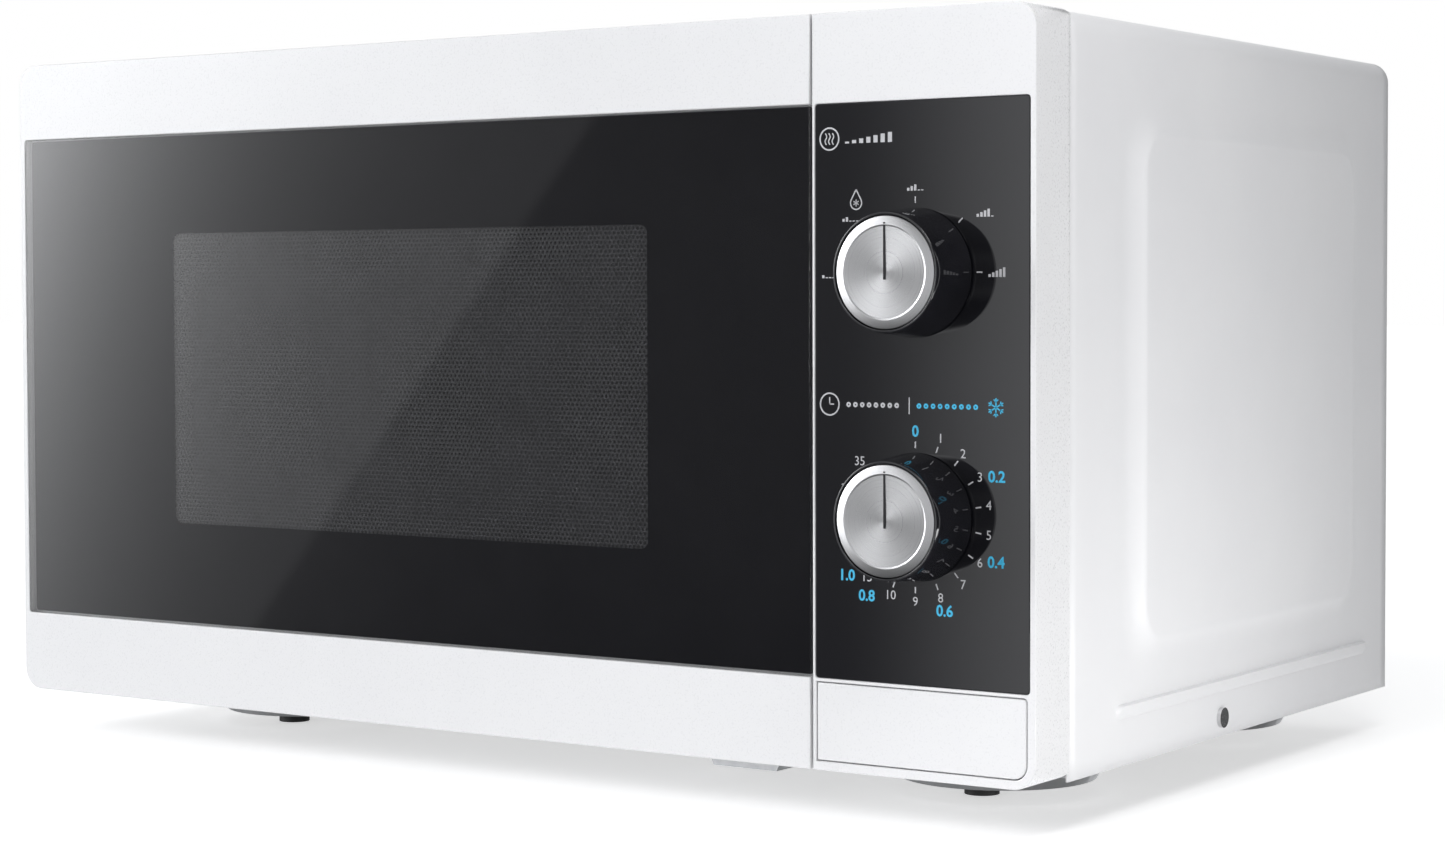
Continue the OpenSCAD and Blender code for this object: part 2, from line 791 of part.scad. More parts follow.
module latch_bar() {
    y_bar = y_door - 17;
    color("ivory") {
        block([hook_x0, hook_x1], [y_bar, y_bar + 6], [hook_low, hook_high + 7]);
        for (z = [hook_low, hook_high]) {
            block([hook_x0, hook_x1], [y_bar + 6 - e, y_in + 23.5], [z, z + 7]);
            block([hook_x0, hook_x0 + 3.4], [y_in + 11.8, y_in + 18.5], [z - 3.5, z + e]);
        }
        // The peg that the spring pulls on
        rod_x([hook_x1 - e, hook_x1 + 5.5], y_bar + 3, 100, 1.5);
    }
}

module latch_spring() {
    z0 = 70;
    turns = 8;
    color("silver") for (k = [0 : turns]) translate([hook_x1 + 4, y_door - 14, z0 + 3.4 * k])
        rotate_extrude($fn = 32) translate([2.6, 0]) circle(0.4, $fn = 16);
}

// ---- Door ----

// The front of the door, set in by s
module door_outline(s) {
    x = [-x_side + s, x_door - s];
    z = [lift_h + s, body_h - s];
    r = corner_r - s;
    translate([x[0] + r, z[0]]) square([x[1] - x[0] - r, z[1] - z[0]]);
    translate([x[0], z[0] + r]) square([x[1] - x[0], z[1] - z[0] - 2 * r]);
    for (cz = [z[0] + r, z[1] - r]) translate([x[0] + r, cz]) circle(r);
}

// The door seen from above: its rear left edge is round, so that it can turn about the hinge
module door_plan() {
    r = y_door - hinge_y;
    translate([hinge_x, y_face]) square([x_door - hinge_x, front_t]);
    translate([-x_side, y_face]) square([hinge_x + x_side, front_t - r]);
    intersection() {
        translate([hinge_x, hinge_y]) circle(r);
        translate([-x_side, hinge_y - e]) square([hinge_x + x_side + e, r + 1]);
    }
}

window_x = [-150, 82];
window_z = [77, 200];

module door_frame() {
    y_wall = y_face + glass_t;
    color("whitesmoke") difference() {
        intersection() {
            along_y(y_face, front_t) door_outline(0);
            translate([0, 0, lift_h - 1]) linear_extrude(body_h) door_plan();
        }
        // Recess for the glass, open at the right edge
        along_y(y_face - 1, glass_t + 1)
            round_rect([-x_side + 2.6, x_door + 5], [glass_low, glass_high], 1.2);
        // Hollow behind the front wall
        block([-200.5, x_door - 2.5], [y_wall + 2, y_door + 1], [lift_h + 2.5, body_h - 2.5]);
        block([-x_side + 2.5, -203], [y_wall + 2, y_door - 8], [48, body_h - 32]);
        block(window_x, [y_wall - 1, y_wall + 3], window_z);
        // Bores for the hinge pins, and the pockets that the hinge arms turn in
        rod_z(hinge_x, hinge_y, [hinge_low, hinge_low + 16], hinge_r + fit);
        rod_z(hinge_x, hinge_y, [hinge_high - 16, hinge_high], hinge_r + fit);
        for (z = [hinge_low, hinge_high - 2])
            block([-x_side - 1, hinge_x + 7], [hinge_y - 7.5, y_door + 1], [z - 0.5, z + 2.5]);
    }
}

module door_glass() {
    color("dimgray", 0.7) along_y(y_face, glass_t) difference() {
        round_rect([-x_side + 2.7, x_door + 3], [glass_low + 0.1, glass_high - 0.1], 1.1);
        translate([x_door, glass_low - 1]) square([5, glass_high]);
    }
}

chassis_x = [-199.5, 118];
chassis_z = [24, 252];

module door_chassis() {
    y0 = y_face + glass_t + 2;
    y1 = y_door - 4;
    color("silver") difference() {
        block(chassis_x, [y0, y1], chassis_z);
        block([chassis_x[0] + sheet_t, chassis_x[1] - sheet_t], [y0 - 1, y1 - sheet_t],
            [chassis_z[0] + sheet_t, chassis_z[1] - sheet_t]);
        block(window_x, [y0, y1 + 1], window_z);
    }
}

module door_screen() {
    y1 = y_door - 4 - sheet_t;
    color("dimgray") block([window_x[0] - 4, window_x[1] + 4], [y1 - 0.4, y1],
        [window_z[0] - 4, window_z[1] + 4]);
}

module door_film() {
    color("lightgray", 0.4) block([window_x[0] - 6, window_x[1] + 6], [y_door - 4, y_door - 3.7],
        [window_z[0] - 6, window_z[1] + 6]);
}

module choke_cover() {
    y0 = y_door - 4;
    color("black") difference() {
        along_y(y0, 3.6) round_rect([-200, x_door - 3], [lift_h + 3, body_h - 3], 3);
        along_y(y0 - 1, 6) round_rect([window_x[0] - 10, window_x[1] + 10],
            [window_z[0] - 10, window_z[1] + 10], 8);
        for (z = [hook_low, hook_high])
            block([hook_x0 - 0.6, hook_x1 + 0.6], [y0 - 1, y_door], [z - 0.6, z + 10.5]);
        block([chassis_x[1], x_door], [y0 - 1, y0 + 1.6], [62, 196]);
    }
}

module door_hinges() {
    y_flange = y_in + 2;
    color("silver") for (z = [hinge_low, hinge_high - 2]) {
        up = z < 100 ? 1 : -1;
        block([hinge_x - 3.5, hinge_x + 3.5], [hinge_y, y_flange], [z, z + 2]);
        rod_z(hinge_x, hinge_y, [z, z + 2], 3.5);
        rod_z(hinge_x, hinge_y, up > 0 ? [z + 2 - e, z + 15] : [z - 13, z + e], hinge_r);
        block([-214, -196], [y_in, y_flange], up > 0 ? [z + 2 - e, z + 26] : [z - 24, z + e]);
        block([hinge_x - 3.5, hinge_x + 3.5], [y_in, y_flange], [z, z + 2]);
    }
}

wrap_cover();
base_plate();
rear_panel();
foot_pads();
cover_screws();
cord_bush();
front_plate();
cavity_box();
waveguide();
mica_cover();
magnetron_yoke();
magnetron_tube();
magnetron_fins();
magnetron_filter_box();
transformer_core();
transformer_windings();
hv_capacitor();
hv_diode();
fan_shroud();
fan_motor();
fan_shaft();
fan_blade();
filter_board();
thermal_cutout();
lamp_holder();
lamp_bulb();
turntable_motor();
turntable_shaft();
turntable_coupler();
glass_tray();
roller_ring();
roller_a();
roller_b();
roller_c();
control_bezel();
control_glass();
timer_unit();
timer_bell();
power_selector();
power_shaft();
power_knob();
power_cap();
timer_shaft();
timer_knob();
timer_cap();
door_button();
button_lever();
lever_pin();
lever_spring();
latch_bracket();
door_switches();
door_hinges();
door_frame();
door_glass();
door_chassis();
door_screen();
door_film();
choke_cover();
latch_bar();
latch_spring();
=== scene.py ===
import bpy
import bmesh
import json
import math
from mathutils import Matrix, Vector

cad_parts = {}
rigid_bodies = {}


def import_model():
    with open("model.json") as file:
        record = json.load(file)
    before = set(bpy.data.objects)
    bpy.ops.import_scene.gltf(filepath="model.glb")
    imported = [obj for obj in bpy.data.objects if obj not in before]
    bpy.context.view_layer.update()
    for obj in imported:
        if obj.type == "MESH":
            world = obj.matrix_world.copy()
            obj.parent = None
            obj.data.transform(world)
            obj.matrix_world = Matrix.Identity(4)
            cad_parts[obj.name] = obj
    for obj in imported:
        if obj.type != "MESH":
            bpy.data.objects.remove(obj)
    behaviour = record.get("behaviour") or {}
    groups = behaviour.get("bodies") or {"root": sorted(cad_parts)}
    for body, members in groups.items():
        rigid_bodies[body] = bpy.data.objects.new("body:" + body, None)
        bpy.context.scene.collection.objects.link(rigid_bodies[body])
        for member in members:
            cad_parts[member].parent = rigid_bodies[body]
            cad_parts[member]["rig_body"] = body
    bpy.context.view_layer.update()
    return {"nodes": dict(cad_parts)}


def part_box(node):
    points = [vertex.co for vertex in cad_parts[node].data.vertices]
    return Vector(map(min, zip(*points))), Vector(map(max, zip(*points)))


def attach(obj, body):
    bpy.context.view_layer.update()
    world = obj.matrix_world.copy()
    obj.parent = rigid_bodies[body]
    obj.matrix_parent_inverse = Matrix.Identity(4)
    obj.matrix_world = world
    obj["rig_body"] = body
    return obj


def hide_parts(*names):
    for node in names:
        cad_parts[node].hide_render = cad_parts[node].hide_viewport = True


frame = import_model()
nodes = frame["nodes"]
mm = 0.001
print("frame loaded:", len(nodes), "nodes")


def setShader(shader, values):
    for name, value in values.items():
        if name in shader.inputs:
            shader.inputs[name].default_value = value


def addNode(tree, kind, **settings):
    node = tree.nodes.new(kind)
    for name, value in settings.items():
        setattr(node, name, value)
    return node


def noiseNode(tree, coords, scale, detail=3.0, rough=0.55, stretch=(1, 1, 1)):
    mapping = addNode(tree, "ShaderNodeMapping")
    mapping.inputs["Scale"].default_value = stretch
    tree.links.new(coords, mapping.inputs["Vector"])
    noise = addNode(tree, "ShaderNodeTexNoise")
    noise.inputs["Scale"].default_value = scale
    noise.inputs["Detail"].default_value = detail
    noise.inputs["Roughness"].default_value = rough
    tree.links.new(mapping.outputs["Vector"], noise.inputs["Vector"])
    return noise.outputs["Fac"]


def spread(tree, value, low, high, fromLow=0.3, fromHigh=0.7):
    ranged = addNode(tree, "ShaderNodeMapRange")
    ranged.inputs["From Min"].default_value = fromLow
    ranged.inputs["From Max"].default_value = fromHigh
    ranged.inputs["To Min"].default_value = low
    ranged.inputs["To Max"].default_value = high
    tree.links.new(value, ranged.inputs["Value"])
    return ranged.outputs["Result"]


def mixColours(tree, factor, first, second):
    ramp = addNode(tree, "ShaderNodeValToRGB")
    ramp.color_ramp.elements[0].position = 0.3
    ramp.color_ramp.elements[0].color = (*first, 1)
    ramp.color_ramp.elements[1].position = 0.7
    ramp.color_ramp.elements[1].color = (*second, 1)
    tree.links.new(factor, ramp.inputs["Fac"])
    return ramp.outputs["Color"]


def addBump(tree, shader, height, depth):
    bump = addNode(tree, "ShaderNodeBump")
    bump.inputs["Distance"].default_value = depth
    tree.links.new(height, bump.inputs["Height"])
    last = shader.inputs["Normal"]
    if last.is_linked:
        tree.links.new(last.links[0].from_socket, bump.inputs["Normal"])
    tree.links.new(bump.outputs["Normal"], last)


def startFinish(name):
    finish = bpy.data.materials.new(name)
    finish.use_nodes = True
    tree = finish.node_tree
    shader = tree.nodes["Principled BSDF"]
    coords = addNode(tree, "ShaderNodeTexCoord").outputs["Object"]
    return finish, tree, shader, coords


# One finish: two close shades mixed by a broad noise, a range of roughness, and a fine grain
def makeFinish(name, recipe):
    finish, tree, shader, coords = startFinish(name)
    stretch = recipe.get("stretch", (1, 1, 1))
    broad = noiseNode(tree, coords, recipe["cloudScale"], 4.0, 0.6, stretch)
    tree.links.new(mixColours(tree, broad, recipe["dark"], recipe["light"]), shader.inputs["Base Color"])
    fine = noiseNode(tree, coords, recipe["grainScale"], 2.0, 0.5, stretch)
    low, high = recipe["rough"]
    tree.links.new(spread(tree, fine, low, high), shader.inputs["Roughness"])
    addBump(tree, shader, fine, recipe["grainDepth"])
    if "waveScale" in recipe:
        wave = addNode(tree, "ShaderNodeTexWave", bands_direction=recipe["waveAlong"])
        wave.inputs["Scale"].default_value = recipe["waveScale"]
        wave.inputs["Distortion"].default_value = recipe.get("waveWobble", 0.0)
        tree.links.new(coords, wave.inputs["Vector"])
        addBump(tree, shader, wave.outputs["Fac"], recipe["waveDepth"])
    setShader(shader, recipe.get("shader", {}))
    return finish


finishes = {}
finishRecipes = {
    "whitePlastic": {"dark": (0.79, 0.79, 0.80), "light": (0.815, 0.815, 0.823), "cloudScale": 14,
                     "rough": (0.26, 0.32), "grainScale": 1400, "grainDepth": 0.0000001},
    "whitePaint": {"dark": (0.80, 0.80, 0.815), "light": (0.835, 0.835, 0.845), "cloudScale": 11,
                   "rough": (0.30, 0.38), "grainScale": 520, "grainDepth": 0.0000016},
    "zincSteel": {"dark": (0.60, 0.61, 0.625), "light": (0.70, 0.705, 0.715), "cloudScale": 230,
                  "rough": (0.34, 0.5), "grainScale": 400, "grainDepth": 0.000003,
                  "shader": {"Metallic": 0.85}},
    "ovenEnamel": {"dark": (0.52, 0.52, 0.52), "light": (0.57, 0.57, 0.565), "cloudScale": 220,
                   "rough": (0.34, 0.46), "grainScale": 900, "grainDepth": 0.000002},
    "platePaint": {"dark": (0.72, 0.72, 0.73), "light": (0.78, 0.78, 0.785), "cloudScale": 20,
                   "rough": (0.32, 0.45), "grainScale": 800, "grainDepth": 0.00001},
    "darkPlastic": {"dark": (0.018, 0.018, 0.019), "light": (0.035, 0.035, 0.037), "cloudScale": 40,
                    "rough": (0.4, 0.55), "grainScale": 1500, "grainDepth": 0.00001},
    "dialBlack": {"dark": (0.008, 0.008, 0.010), "light": (0.014, 0.014, 0.017), "cloudScale": 80,
                  "rough": (0.05, 0.1), "grainScale": 1800, "grainDepth": 0.000001,
                  "shader": {"Coat Weight": 0.6, "Coat Roughness": 0.03}},
    "blackInk": {"dark": (0.004, 0.004, 0.006), "light": (0.007, 0.007, 0.009), "cloudScale": 50,
                 "rough": (0.6, 0.7), "grainScale": 2000, "grainDepth": 0.0000002,
                 "shader": {"Specular IOR Level": 0.0}},
    "brightSteel": {"dark": (0.60, 0.60, 0.61), "light": (0.74, 0.74, 0.75), "cloudScale": 200,
                    "rough": (0.16, 0.28), "grainScale": 2500, "grainDepth": 0.000003,
                    "shader": {"Metallic": 1.0}},
    "footRubber": {"dark": (0.012, 0.012, 0.012), "light": (0.026, 0.026, 0.026), "cloudScale": 150,
                   "rough": (0.55, 0.75), "grainScale": 2200, "grainDepth": 0.00003},
    "ivoryPlastic": {"dark": (0.70, 0.67, 0.58), "light": (0.77, 0.75, 0.67), "cloudScale": 30,
                     "rough": (0.35, 0.5), "grainScale": 1500, "grainDepth": 0.000008},
    "whiteNylon": {"dark": (0.74, 0.74, 0.72), "light": (0.80, 0.80, 0.78), "cloudScale": 40,
                   "rough": (0.38, 0.52), "grainScale": 1300, "grainDepth": 0.000008,
                   "shader": {"Subsurface Weight": 0.05}},
    "micaSheet": {"dark": (0.36, 0.29, 0.19), "light": (0.58, 0.49, 0.35), "cloudScale": 260,
                  "rough": (0.25, 0.5), "grainScale": 800, "grainDepth": 0.00003},
    "copperWire": {"dark": (0.42, 0.16, 0.07), "light": (0.62, 0.28, 0.13), "cloudScale": 120,
                   "rough": (0.2, 0.35), "grainScale": 1500, "grainDepth": 0.000005,
                   "waveScale": 130, "waveAlong": "Z", "waveDepth": 0.0003, "shader": {"Metallic": 0.9}},
    "ironLaminations": {"dark": (0.05, 0.05, 0.055), "light": (0.11, 0.11, 0.115), "cloudScale": 70,
                        "rough": (0.3, 0.5), "grainScale": 900, "grainDepth": 0.00001,
                        "waveScale": 320, "waveAlong": "Y", "waveDepth": 0.00015,
                        "shader": {"Metallic": 0.6}},
    "pinkCeramic": {"dark": (0.60, 0.34, 0.28), "light": (0.72, 0.46, 0.39), "cloudScale": 150,
                    "rough": (0.4, 0.6), "grainScale": 1500, "grainDepth": 0.00001},
    "canAluminium": {"dark": (0.55, 0.56, 0.58), "light": (0.68, 0.69, 0.71), "cloudScale": 90,
                     "rough": (0.28, 0.42), "grainScale": 700, "grainDepth": 0.000006,
                     "stretch": (1, 1, 0.15), "shader": {"Metallic": 1.0}},
    "greenBoard": {"dark": (0.012, 0.085, 0.03), "light": (0.03, 0.16, 0.06), "cloudScale": 220,
                   "rough": (0.25, 0.4), "grainScale": 1300, "grainDepth": 0.00002,
                   "waveScale": 160, "waveAlong": "X", "waveWobble": 6.0, "waveDepth": 0.00005},
    "screenPaint": {"dark": (0.068, 0.068, 0.073), "light": (0.105, 0.105, 0.112), "cloudScale": 70,
                    "rough": (0.5, 0.6), "grainScale": 1600, "grainDepth": 0.000001,
                    "shader": {"Specular IOR Level": 0.2}},
    "printWhite": {"dark": (0.50, 0.50, 0.52), "light": (0.56, 0.56, 0.58), "cloudScale": 200,
                   "rough": (0.45, 0.6), "grainScale": 2500, "grainDepth": 0.000002},
    "printBlue": {"dark": (0.03, 0.42, 0.68), "light": (0.04, 0.48, 0.76), "cloudScale": 200,
                  "rough": (0.45, 0.6), "grainScale": 2500, "grainDepth": 0.000002},
}
for finishName, recipe in finishRecipes.items():
    finishes[finishName] = makeFinish(finishName, recipe)


# Clear and tinted glass and film; ripple is the depth of its waves, 0 for none
def makeGlass(name, colour, rough, alpha, ripple, shaderValues):
    finish, tree, shader, coords = startFinish(name)
    cloud = noiseNode(tree, coords, 9, 2.0)
    dimmer = tuple(c * 0.9 for c in colour)
    tree.links.new(mixColours(tree, cloud, dimmer, colour), shader.inputs["Base Color"])
    tree.links.new(spread(tree, cloud, rough, rough + 0.02), shader.inputs["Roughness"])
    if ripple:
        addBump(tree, shader, noiseNode(tree, coords, 14, 1.0), ripple)
    setShader(shader, {"Alpha": alpha, **shaderValues})
    return finish


finishes["trayGlass"] = makeGlass("trayGlass", (0.90, 0.97, 0.95), 0.01, 1.0, 0.00006,
                                  {"Transmission Weight": 0.95, "IOR": 1.47})
finishes["bulbGlass"] = makeGlass("bulbGlass", (0.98, 0.96, 0.90), 0.05, 1.0, 0.00002,
                                  {"Transmission Weight": 0.8, "IOR": 1.47})
finishes["doorTint"] = makeGlass("doorTint", (0.004, 0.004, 0.006), 0.0, 0.3, 0.0,
                                 {"IOR": 2.2})
finishes["clearFilm"] = makeGlass("clearFilm", (0.45, 0.47, 0.50), 0.06, 0.14, 0.00001,
                                  {"IOR": 1.45})
finishes["panelGlass"] = makeGlass("panelGlass", (0.006, 0.006, 0.008), 0.01, 1.0, 0.0,
                                   {"IOR": 1.56})


# Spun aluminium for the dial caps: fine rings about each dial's own axis
spunMetal = {"rings": 5200, "dark": (0.385, 0.385, 0.39), "light": (0.40, 0.40, 0.405),
             "rough": (0.26, 0.4), "grooveDepth": 0.000002, "shader": {"Metallic": 1.0, "Anisotropic": 0.6}}


def makeSpunMetal(name, centre):
    finish, tree, shader, coords = startFinish(name)
    shift = addNode(tree, "ShaderNodeMapping")
    shift.inputs["Location"].default_value = (-centre[0], 0, -centre[2])
    shift.inputs["Scale"].default_value = (1, 0, 1)
    tree.links.new(coords, shift.inputs["Vector"])
    length = addNode(tree, "ShaderNodeVectorMath", operation="LENGTH")
    tree.links.new(shift.outputs["Vector"], length.inputs[0])
    rings = addNode(tree, "ShaderNodeTexNoise", noise_dimensions="1D")
    rings.inputs["Scale"].default_value = spunMetal["rings"]
    rings.inputs["Detail"].default_value = 3
    tree.links.new(length.outputs["Value"], rings.inputs["W"])
    grooves = rings.outputs["Fac"]
    metal = mixColours(tree, grooves, spunMetal["dark"], spunMetal["light"])
    tree.links.new(metal, shader.inputs["Base Color"])
    tree.links.new(spread(tree, grooves, *spunMetal["rough"]), shader.inputs["Roughness"])
    addBump(tree, shader, grooves, spunMetal["grooveDepth"])
    tangent = addNode(tree, "ShaderNodeTangent", direction_type="RADIAL", axis="Y")
    tree.links.new(tangent.outputs["Tangent"], shader.inputs["Tangent"])
    setShader(shader, spunMetal["shader"])
    return finish


print("finishes ready:", len(finishes))


def dress(piece, finishName):
    piece.data.materials.clear()
    piece.data.materials.append(finishes[finishName])
    return piece


def makePiece(name, verts, faces, finishName, body, sharp=32):
    mesh = bpy.data.meshes.new(name)
    mesh.from_pydata(verts, [], faces)
    mesh.validate()
    mesh.update()
    mesh.shade_smooth()
    mesh.set_sharp_from_angle(angle=math.radians(sharp))
    piece = bpy.data.objects.new(name, mesh)
    bpy.context.scene.collection.objects.link(piece)
    dress(piece, finishName)
    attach(piece, body)
    return piece


def applyModifiers(piece):
    graph = bpy.context.evaluated_depsgraph_get()
    done = bpy.data.meshes.new_from_object(piece.evaluated_get(graph))
    piece.modifiers.clear()
    piece.data = done


def weightNormals(piece):
    weighted = piece.modifiers.new("flatFaces", "WEIGHTED_NORMAL")
    weighted.keep_sharp = True
    weighted.weight = 80


# Rounds the corners of an open outline of (a, b) points; radii gives one radius per point
def filleted(points, radii, steps=5):
    result = []
    last = len(points) - 1
    for k, point in enumerate(points):
        radius = radii[k]
        if k in (0, last) or radius == 0:
            result.append(point)
            continue
        here = Vector(point)
        toBack = (Vector(points[k - 1]) - here).normalized()
        toNext = (Vector(points[k + 1]) - here).normalized()
        halfAngle = toBack.angle(toNext) / 2
        reach = radius / math.tan(halfAngle)
        centre = here + (toBack + toNext).normalized() * radius / math.sin(halfAngle)
        start = here + toBack * reach - centre
        sweep = start.angle_signed(here + toNext * reach - centre)
        for step in range(steps + 1):
            spoke = start.copy()
            spoke.rotate(Matrix.Rotation(-sweep * step / steps, 2))
            result.append(tuple(centre + spoke))
    return result


# A turned shape: outline of (radius, distance along the axis), closed on the axis
def turned(name, outline, centre, axis, finishName, body, segments):
    toAxis = Vector((0, 0, 1)).rotation_difference(Vector(axis)).to_matrix()
    verts = []
    rings = []
    for radius, along in outline:
        if radius < 1e-9:
            rings.append([len(verts)])
            verts.append(Vector(centre) + toAxis @ Vector((0, 0, along)))
            continue
        ring = []
        for k in range(segments):
            angle = 2 * math.pi * k / segments
            ring.append(len(verts))
            spot = Vector((radius * math.cos(angle), radius * math.sin(angle), along))
            verts.append(Vector(centre) + toAxis @ spot)
        rings.append(ring)
    faces = []
    pairs = list(zip(rings, rings[1:]))
    if len(rings[0]) > 1:
        pairs.append((rings[-1], rings[0]))
    for low, high in pairs:
        for k in range(segments):
            a, b = k % len(low), (k + 1) % len(low)
            c, d = (k + 1) % len(high), k % len(high)
            face = [low[a], low[b], high[c], high[d]]
            face = [v for n, v in enumerate(face) if v not in face[:n]]
            if len(face) > 2:
                faces.append(face)
    piece = makePiece(name, [tuple(v) for v in verts], faces, finishName, body)
    tidyNormals(piece)
    return piece


def tidyNormals(piece):
    work = bmesh.new()
    work.from_mesh(piece.data)
    bmesh.ops.recalc_face_normals(work, faces=work.faces)
    work.to_mesh(piece.data)
    work.free()


softening = {"weld": 3e-6, "flatTo": 0.4, "bevelFrom": 30, "smoothTo": 40, "steps": 3}


# A copy of a CAD node with clean flat faces and its sharp edges rounded; where() picks the edges
def refined(nodeName, finishName, width, where):
    source = nodes[nodeName]
    work = bmesh.new()
    work.from_mesh(source.data)
    bmesh.ops.remove_doubles(work, verts=work.verts, dist=softening["weld"])
    bmesh.ops.dissolve_limit(work, angle_limit=math.radians(softening["flatTo"]), verts=work.verts,
                             edges=work.edges)
    chosen = []
    for edge in work.edges:
        if len(edge.link_faces) != 2 or edge.calc_face_angle(0) < math.radians(softening["bevelFrom"]):
            continue
        if where(edge.verts[0].co, edge.verts[1].co):
            chosen.append(edge)
    bmesh.ops.bevel(work, geom=chosen, offset=width, offset_type="OFFSET", segments=softening["steps"],
                    profile=0.5, affect="EDGES", clamp_overlap=False, loop_slide=True)
    bmesh.ops.recalc_face_normals(work, faces=work.faces)
    mesh = bpy.data.meshes.new(nodeName + "Soft")
    work.to_mesh(mesh)
    work.free()
    mesh.shade_smooth()
    mesh.set_sharp_from_angle(angle=math.radians(softening["smoothTo"]))
    piece = bpy.data.objects.new(nodeName + "Soft", mesh)
    bpy.context.scene.collection.objects.link(piece)
    dress(piece, finishName)
    weightNormals(piece)
    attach(piece, source["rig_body"])
    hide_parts(nodeName)
    return piece


# A closed bar, disc or other flat shape of thickness depth, standing on the plane y = front
def flatShape(work, points, front, depth):
    back = [work.verts.new((x, front, z)) for x, z in points]
    face = [work.verts.new((x, front - depth, z)) for x, z in points]
    work.faces.new(face)
    work.faces.new(list(reversed(back)))
    count = len(points)
    for k in range(count):
        work.faces.new((face[k], back[k], back[(k + 1) % count], face[(k + 1) % count]))


# The finish of each CAD piece; those replaced further down have one too
plainNodes = {
    "cord_bush": "darkPlastic", "waveguide": "zincSteel", "mica_cover": "micaSheet",
    "magnetron_yoke": "zincSteel", "magnetron_tube": "pinkCeramic", "magnetron_fins": "canAluminium",
    "magnetron_filter_box": "zincSteel", "transformer_core": "ironLaminations",
    "transformer_windings": "copperWire", "hv_capacitor": "canAluminium", "hv_diode": "darkPlastic",
    "fan_shroud": "darkPlastic", "fan_motor": "ironLaminations", "fan_shaft": "brightSteel",
    "fan_blade": "whiteNylon", "filter_board": "greenBoard", "thermal_cutout": "ivoryPlastic",
    "lamp_holder": "ivoryPlastic", "lamp_bulb": "bulbGlass", "turntable_motor": "zincSteel",
    "turntable_shaft": "whiteNylon", "turntable_coupler": "whiteNylon", "glass_tray": "trayGlass",
    "roller_ring": "whiteNylon", "roller_a": "whiteNylon", "roller_b": "whiteNylon",
    "roller_c": "whiteNylon", "timer_unit": "ivoryPlastic", "timer_bell": "brightSteel",
    "power_selector": "ivoryPlastic", "power_shaft": "brightSteel", "timer_shaft": "brightSteel",
    "button_lever": "ivoryPlastic", "lever_pin": "brightSteel", "lever_spring": "brightSteel",
    "latch_bracket": "ivoryPlastic", "door_switches": "darkPlastic", "door_hinges": "zincSteel",
    "door_film": "clearFilm", "latch_bar": "ivoryPlastic", "latch_spring": "brightSteel",
    "cavity_box": "ovenEnamel", "front_plate": "platePaint", "rear_panel": "zincSteel",
    "base_plate": "zincSteel", "foot_pads": "footRubber", "cover_screws": "brightSteel",
    "door_chassis": "platePaint", "choke_cover": "darkPlastic", "door_screen": "screenPaint",
    "wrap_cover": "whitePaint", "control_bezel": "whitePlastic", "control_glass": "panelGlass",
    "door_frame": "whitePlastic", "door_glass": "doorTint", "door_button": "whitePlastic",
    "power_knob": "dialBlack", "timer_knob": "dialBlack", "power_cap": "brightSteel",
    "timer_cap": "brightSteel",
}
for nodeName, finishName in plainNodes.items():
    dress(nodes[nodeName], finishName)
print("CAD pieces dressed")


# The pressed steel cover: top and sides in one sheet, each side with a raised field and a bead under it
cover = {"sheet": 0.8, "cornerRadius": 8, "sideSegments": 10, "topSegments": 24, "gridStep": 6.0,
         "smoothTo": 60, "fieldHeight": 3.0, "fieldEdge": 12.5, "fieldRadius": 24, "fieldLip": 0.1,
         "fieldPower": 2.2, "fieldFront": 37.7, "fieldBack": 29, "fieldBottom": 44.5, "fieldTop": 233.0,
         "fineSteps": 26, "beadDepth": 1.8, "beadHalf": 2.4, "beadWall": 0.5, "beadHeight": 34.7,
         "beadFront": 33.7, "beadBack": 22, "beadLines": (0.4, 1.2, 1.9, 2.4, 2.7), "beadFoot": 0.2,
         "lineGap": 0.2}


